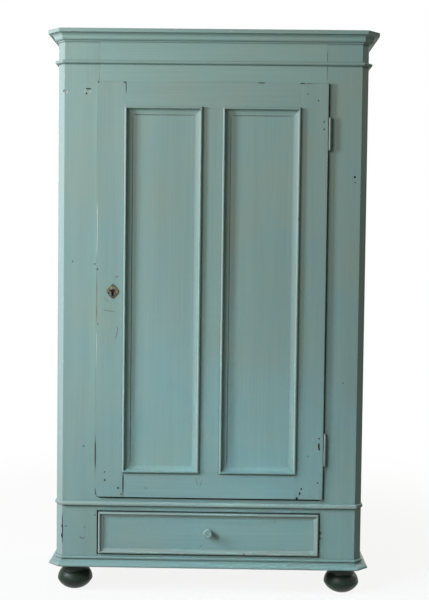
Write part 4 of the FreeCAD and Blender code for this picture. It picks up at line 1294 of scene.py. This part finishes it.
@dataclass
class Studio:
    """A pale floor that fades into white, soft lamps from the left, and even light all round."""

    floor_reach: float = 3200.0
    floor_sides: int = 96
    fade_from: float = 700.0
    fade_to: float = 2600.0
    floor_white: float = 0.88
    floor_colour: str = "#EDEDEA"
    floor_bounce: str = "#8E867C"
    surround: str = "#FAFAE8"
    surround_strength: float = 0.035
    lamps: tuple[Lamp, ...] = (
        Lamp("high_light", (-3300, -4200, 3000), (0, -240, 950), (2600, 2200), 148, "#FFF1EF"),
        Lamp("side_light", (-2600, -1250, 1700), (0, -240, 950), (500, 1100), 87, "#E8F3FF"),
        Lamp("low_light", (-2600, -3200, 3600), (140, -240, 310), (350, 350), 0.8, "#AEEDFF", 13),
        Lamp("front_light", (-900, -4800, 1500), (0, -240, 950), (1600, 1600), 8, "#F6FFF0"),
        Lamp("rear_light", (3600, 3300, 2600), (0, 0, 900), (2600, 1600), 150, "#FFF6EC"),
    )

    def build(self) -> None:
        """Lay the floor and set the lights."""
        self.lay_floor()
        self.light_world()
        for lamp in self.lamps:
            lamp.hang()

    def lay_floor(self) -> None:
        """Lay a round floor that takes the shadow and turns to white further out."""
        material = bpy.data.materials.new("pale_floor")
        mesh = bmesh.new()
        bmesh.ops.create_circle(mesh, cap_ends=True, radius=self.floor_reach * MM, segments=self.floor_sides)
        floor = make_object("floor", mesh, [material])
        surface = Surface.of(material)
        add = surface.add
        reach = add("VectorMath", (surface.place,), "Value", operation="LENGTH")
        fade = add("MapRange", (reach, self.fade_from * MM, self.fade_to * MM, self.floor_white, 1.0),
                   interpolation_type="SMOOTHSTEP")
        seen = seen_directly(surface)
        share = add("Math", (fade, seen), operation="MULTIPLY")
        colour = add("Mix", {0: seen, MIX_A: linear(self.floor_bounce), MIX_B: linear(self.floor_colour)},
                     **COLOUR_MIX)
        matt = add("BsdfDiffuse", {"Color": colour})
        white = add("Emission", {"Strength": 1.0})
        add("OutputMaterial", {"Surface": add("MixShader", (share, matt, white))})

    def light_world(self) -> None:
        """Give even light from all round, which the camera and reflections see as white."""
        world = bpy.data.worlds.new("white_surround")
        bpy.context.scene.world = world
        nodes = Nodes.of(world)
        soft = nodes.add("Background", {"Color": linear(self.surround), "Strength": self.surround_strength})
        white = nodes.add("Background", {"Color": (1, 1, 1, 1), "Strength": 1.0})
        nodes.add("OutputWorld", {"Surface": nodes.add("MixShader", (seen_directly(nodes), soft, white))})


@dataclass
class Camera:
    """The camera where the photographer stood: square to the front, at chest height, barely tilted."""

    place: tuple[float, float, float] = (51.4, -3498.9, 1098.3)
    turn: float = -0.694
    tilt: float = 2.478
    roll: float = 0.676
    lens: float = 61.18

    def build(self) -> None:
        """Set the camera up and make it the scene's."""
        data = bpy.data.cameras.new("camera")
        data.lens = self.lens
        camera = bpy.data.objects.new("camera", data)
        turned = Matrix.Rotation(math.radians(-self.turn), 4, "Z")
        tilted = Matrix.Rotation(math.radians(90 - self.tilt), 4, "X")
        rolled = Matrix.Rotation(math.radians(self.roll), 4, "Z")
        camera.matrix_world = Matrix.Translation(Vector(self.place) * MM) @ turned @ tilted @ rolled
        bpy.context.scene.collection.objects.link(camera)
        bpy.context.scene.camera = camera


def main() -> None:
    """Dress the cupboard, sub-assembly by sub-assembly, and set the studio up."""
    logging.basicConfig(level=logging.INFO, format="%(name)s: %(message)s")
    bpy.context.scene.view_settings.view_transform = "Standard"
    for part in (Camera(), Studio(), Case(), CaseMouldings(), Feet(), Hinges(), Door(), Lock(), Drawer()):
        part.build()
        LOG.info("%s done", type(part).__name__)


if __name__ == "__main__":
    main()
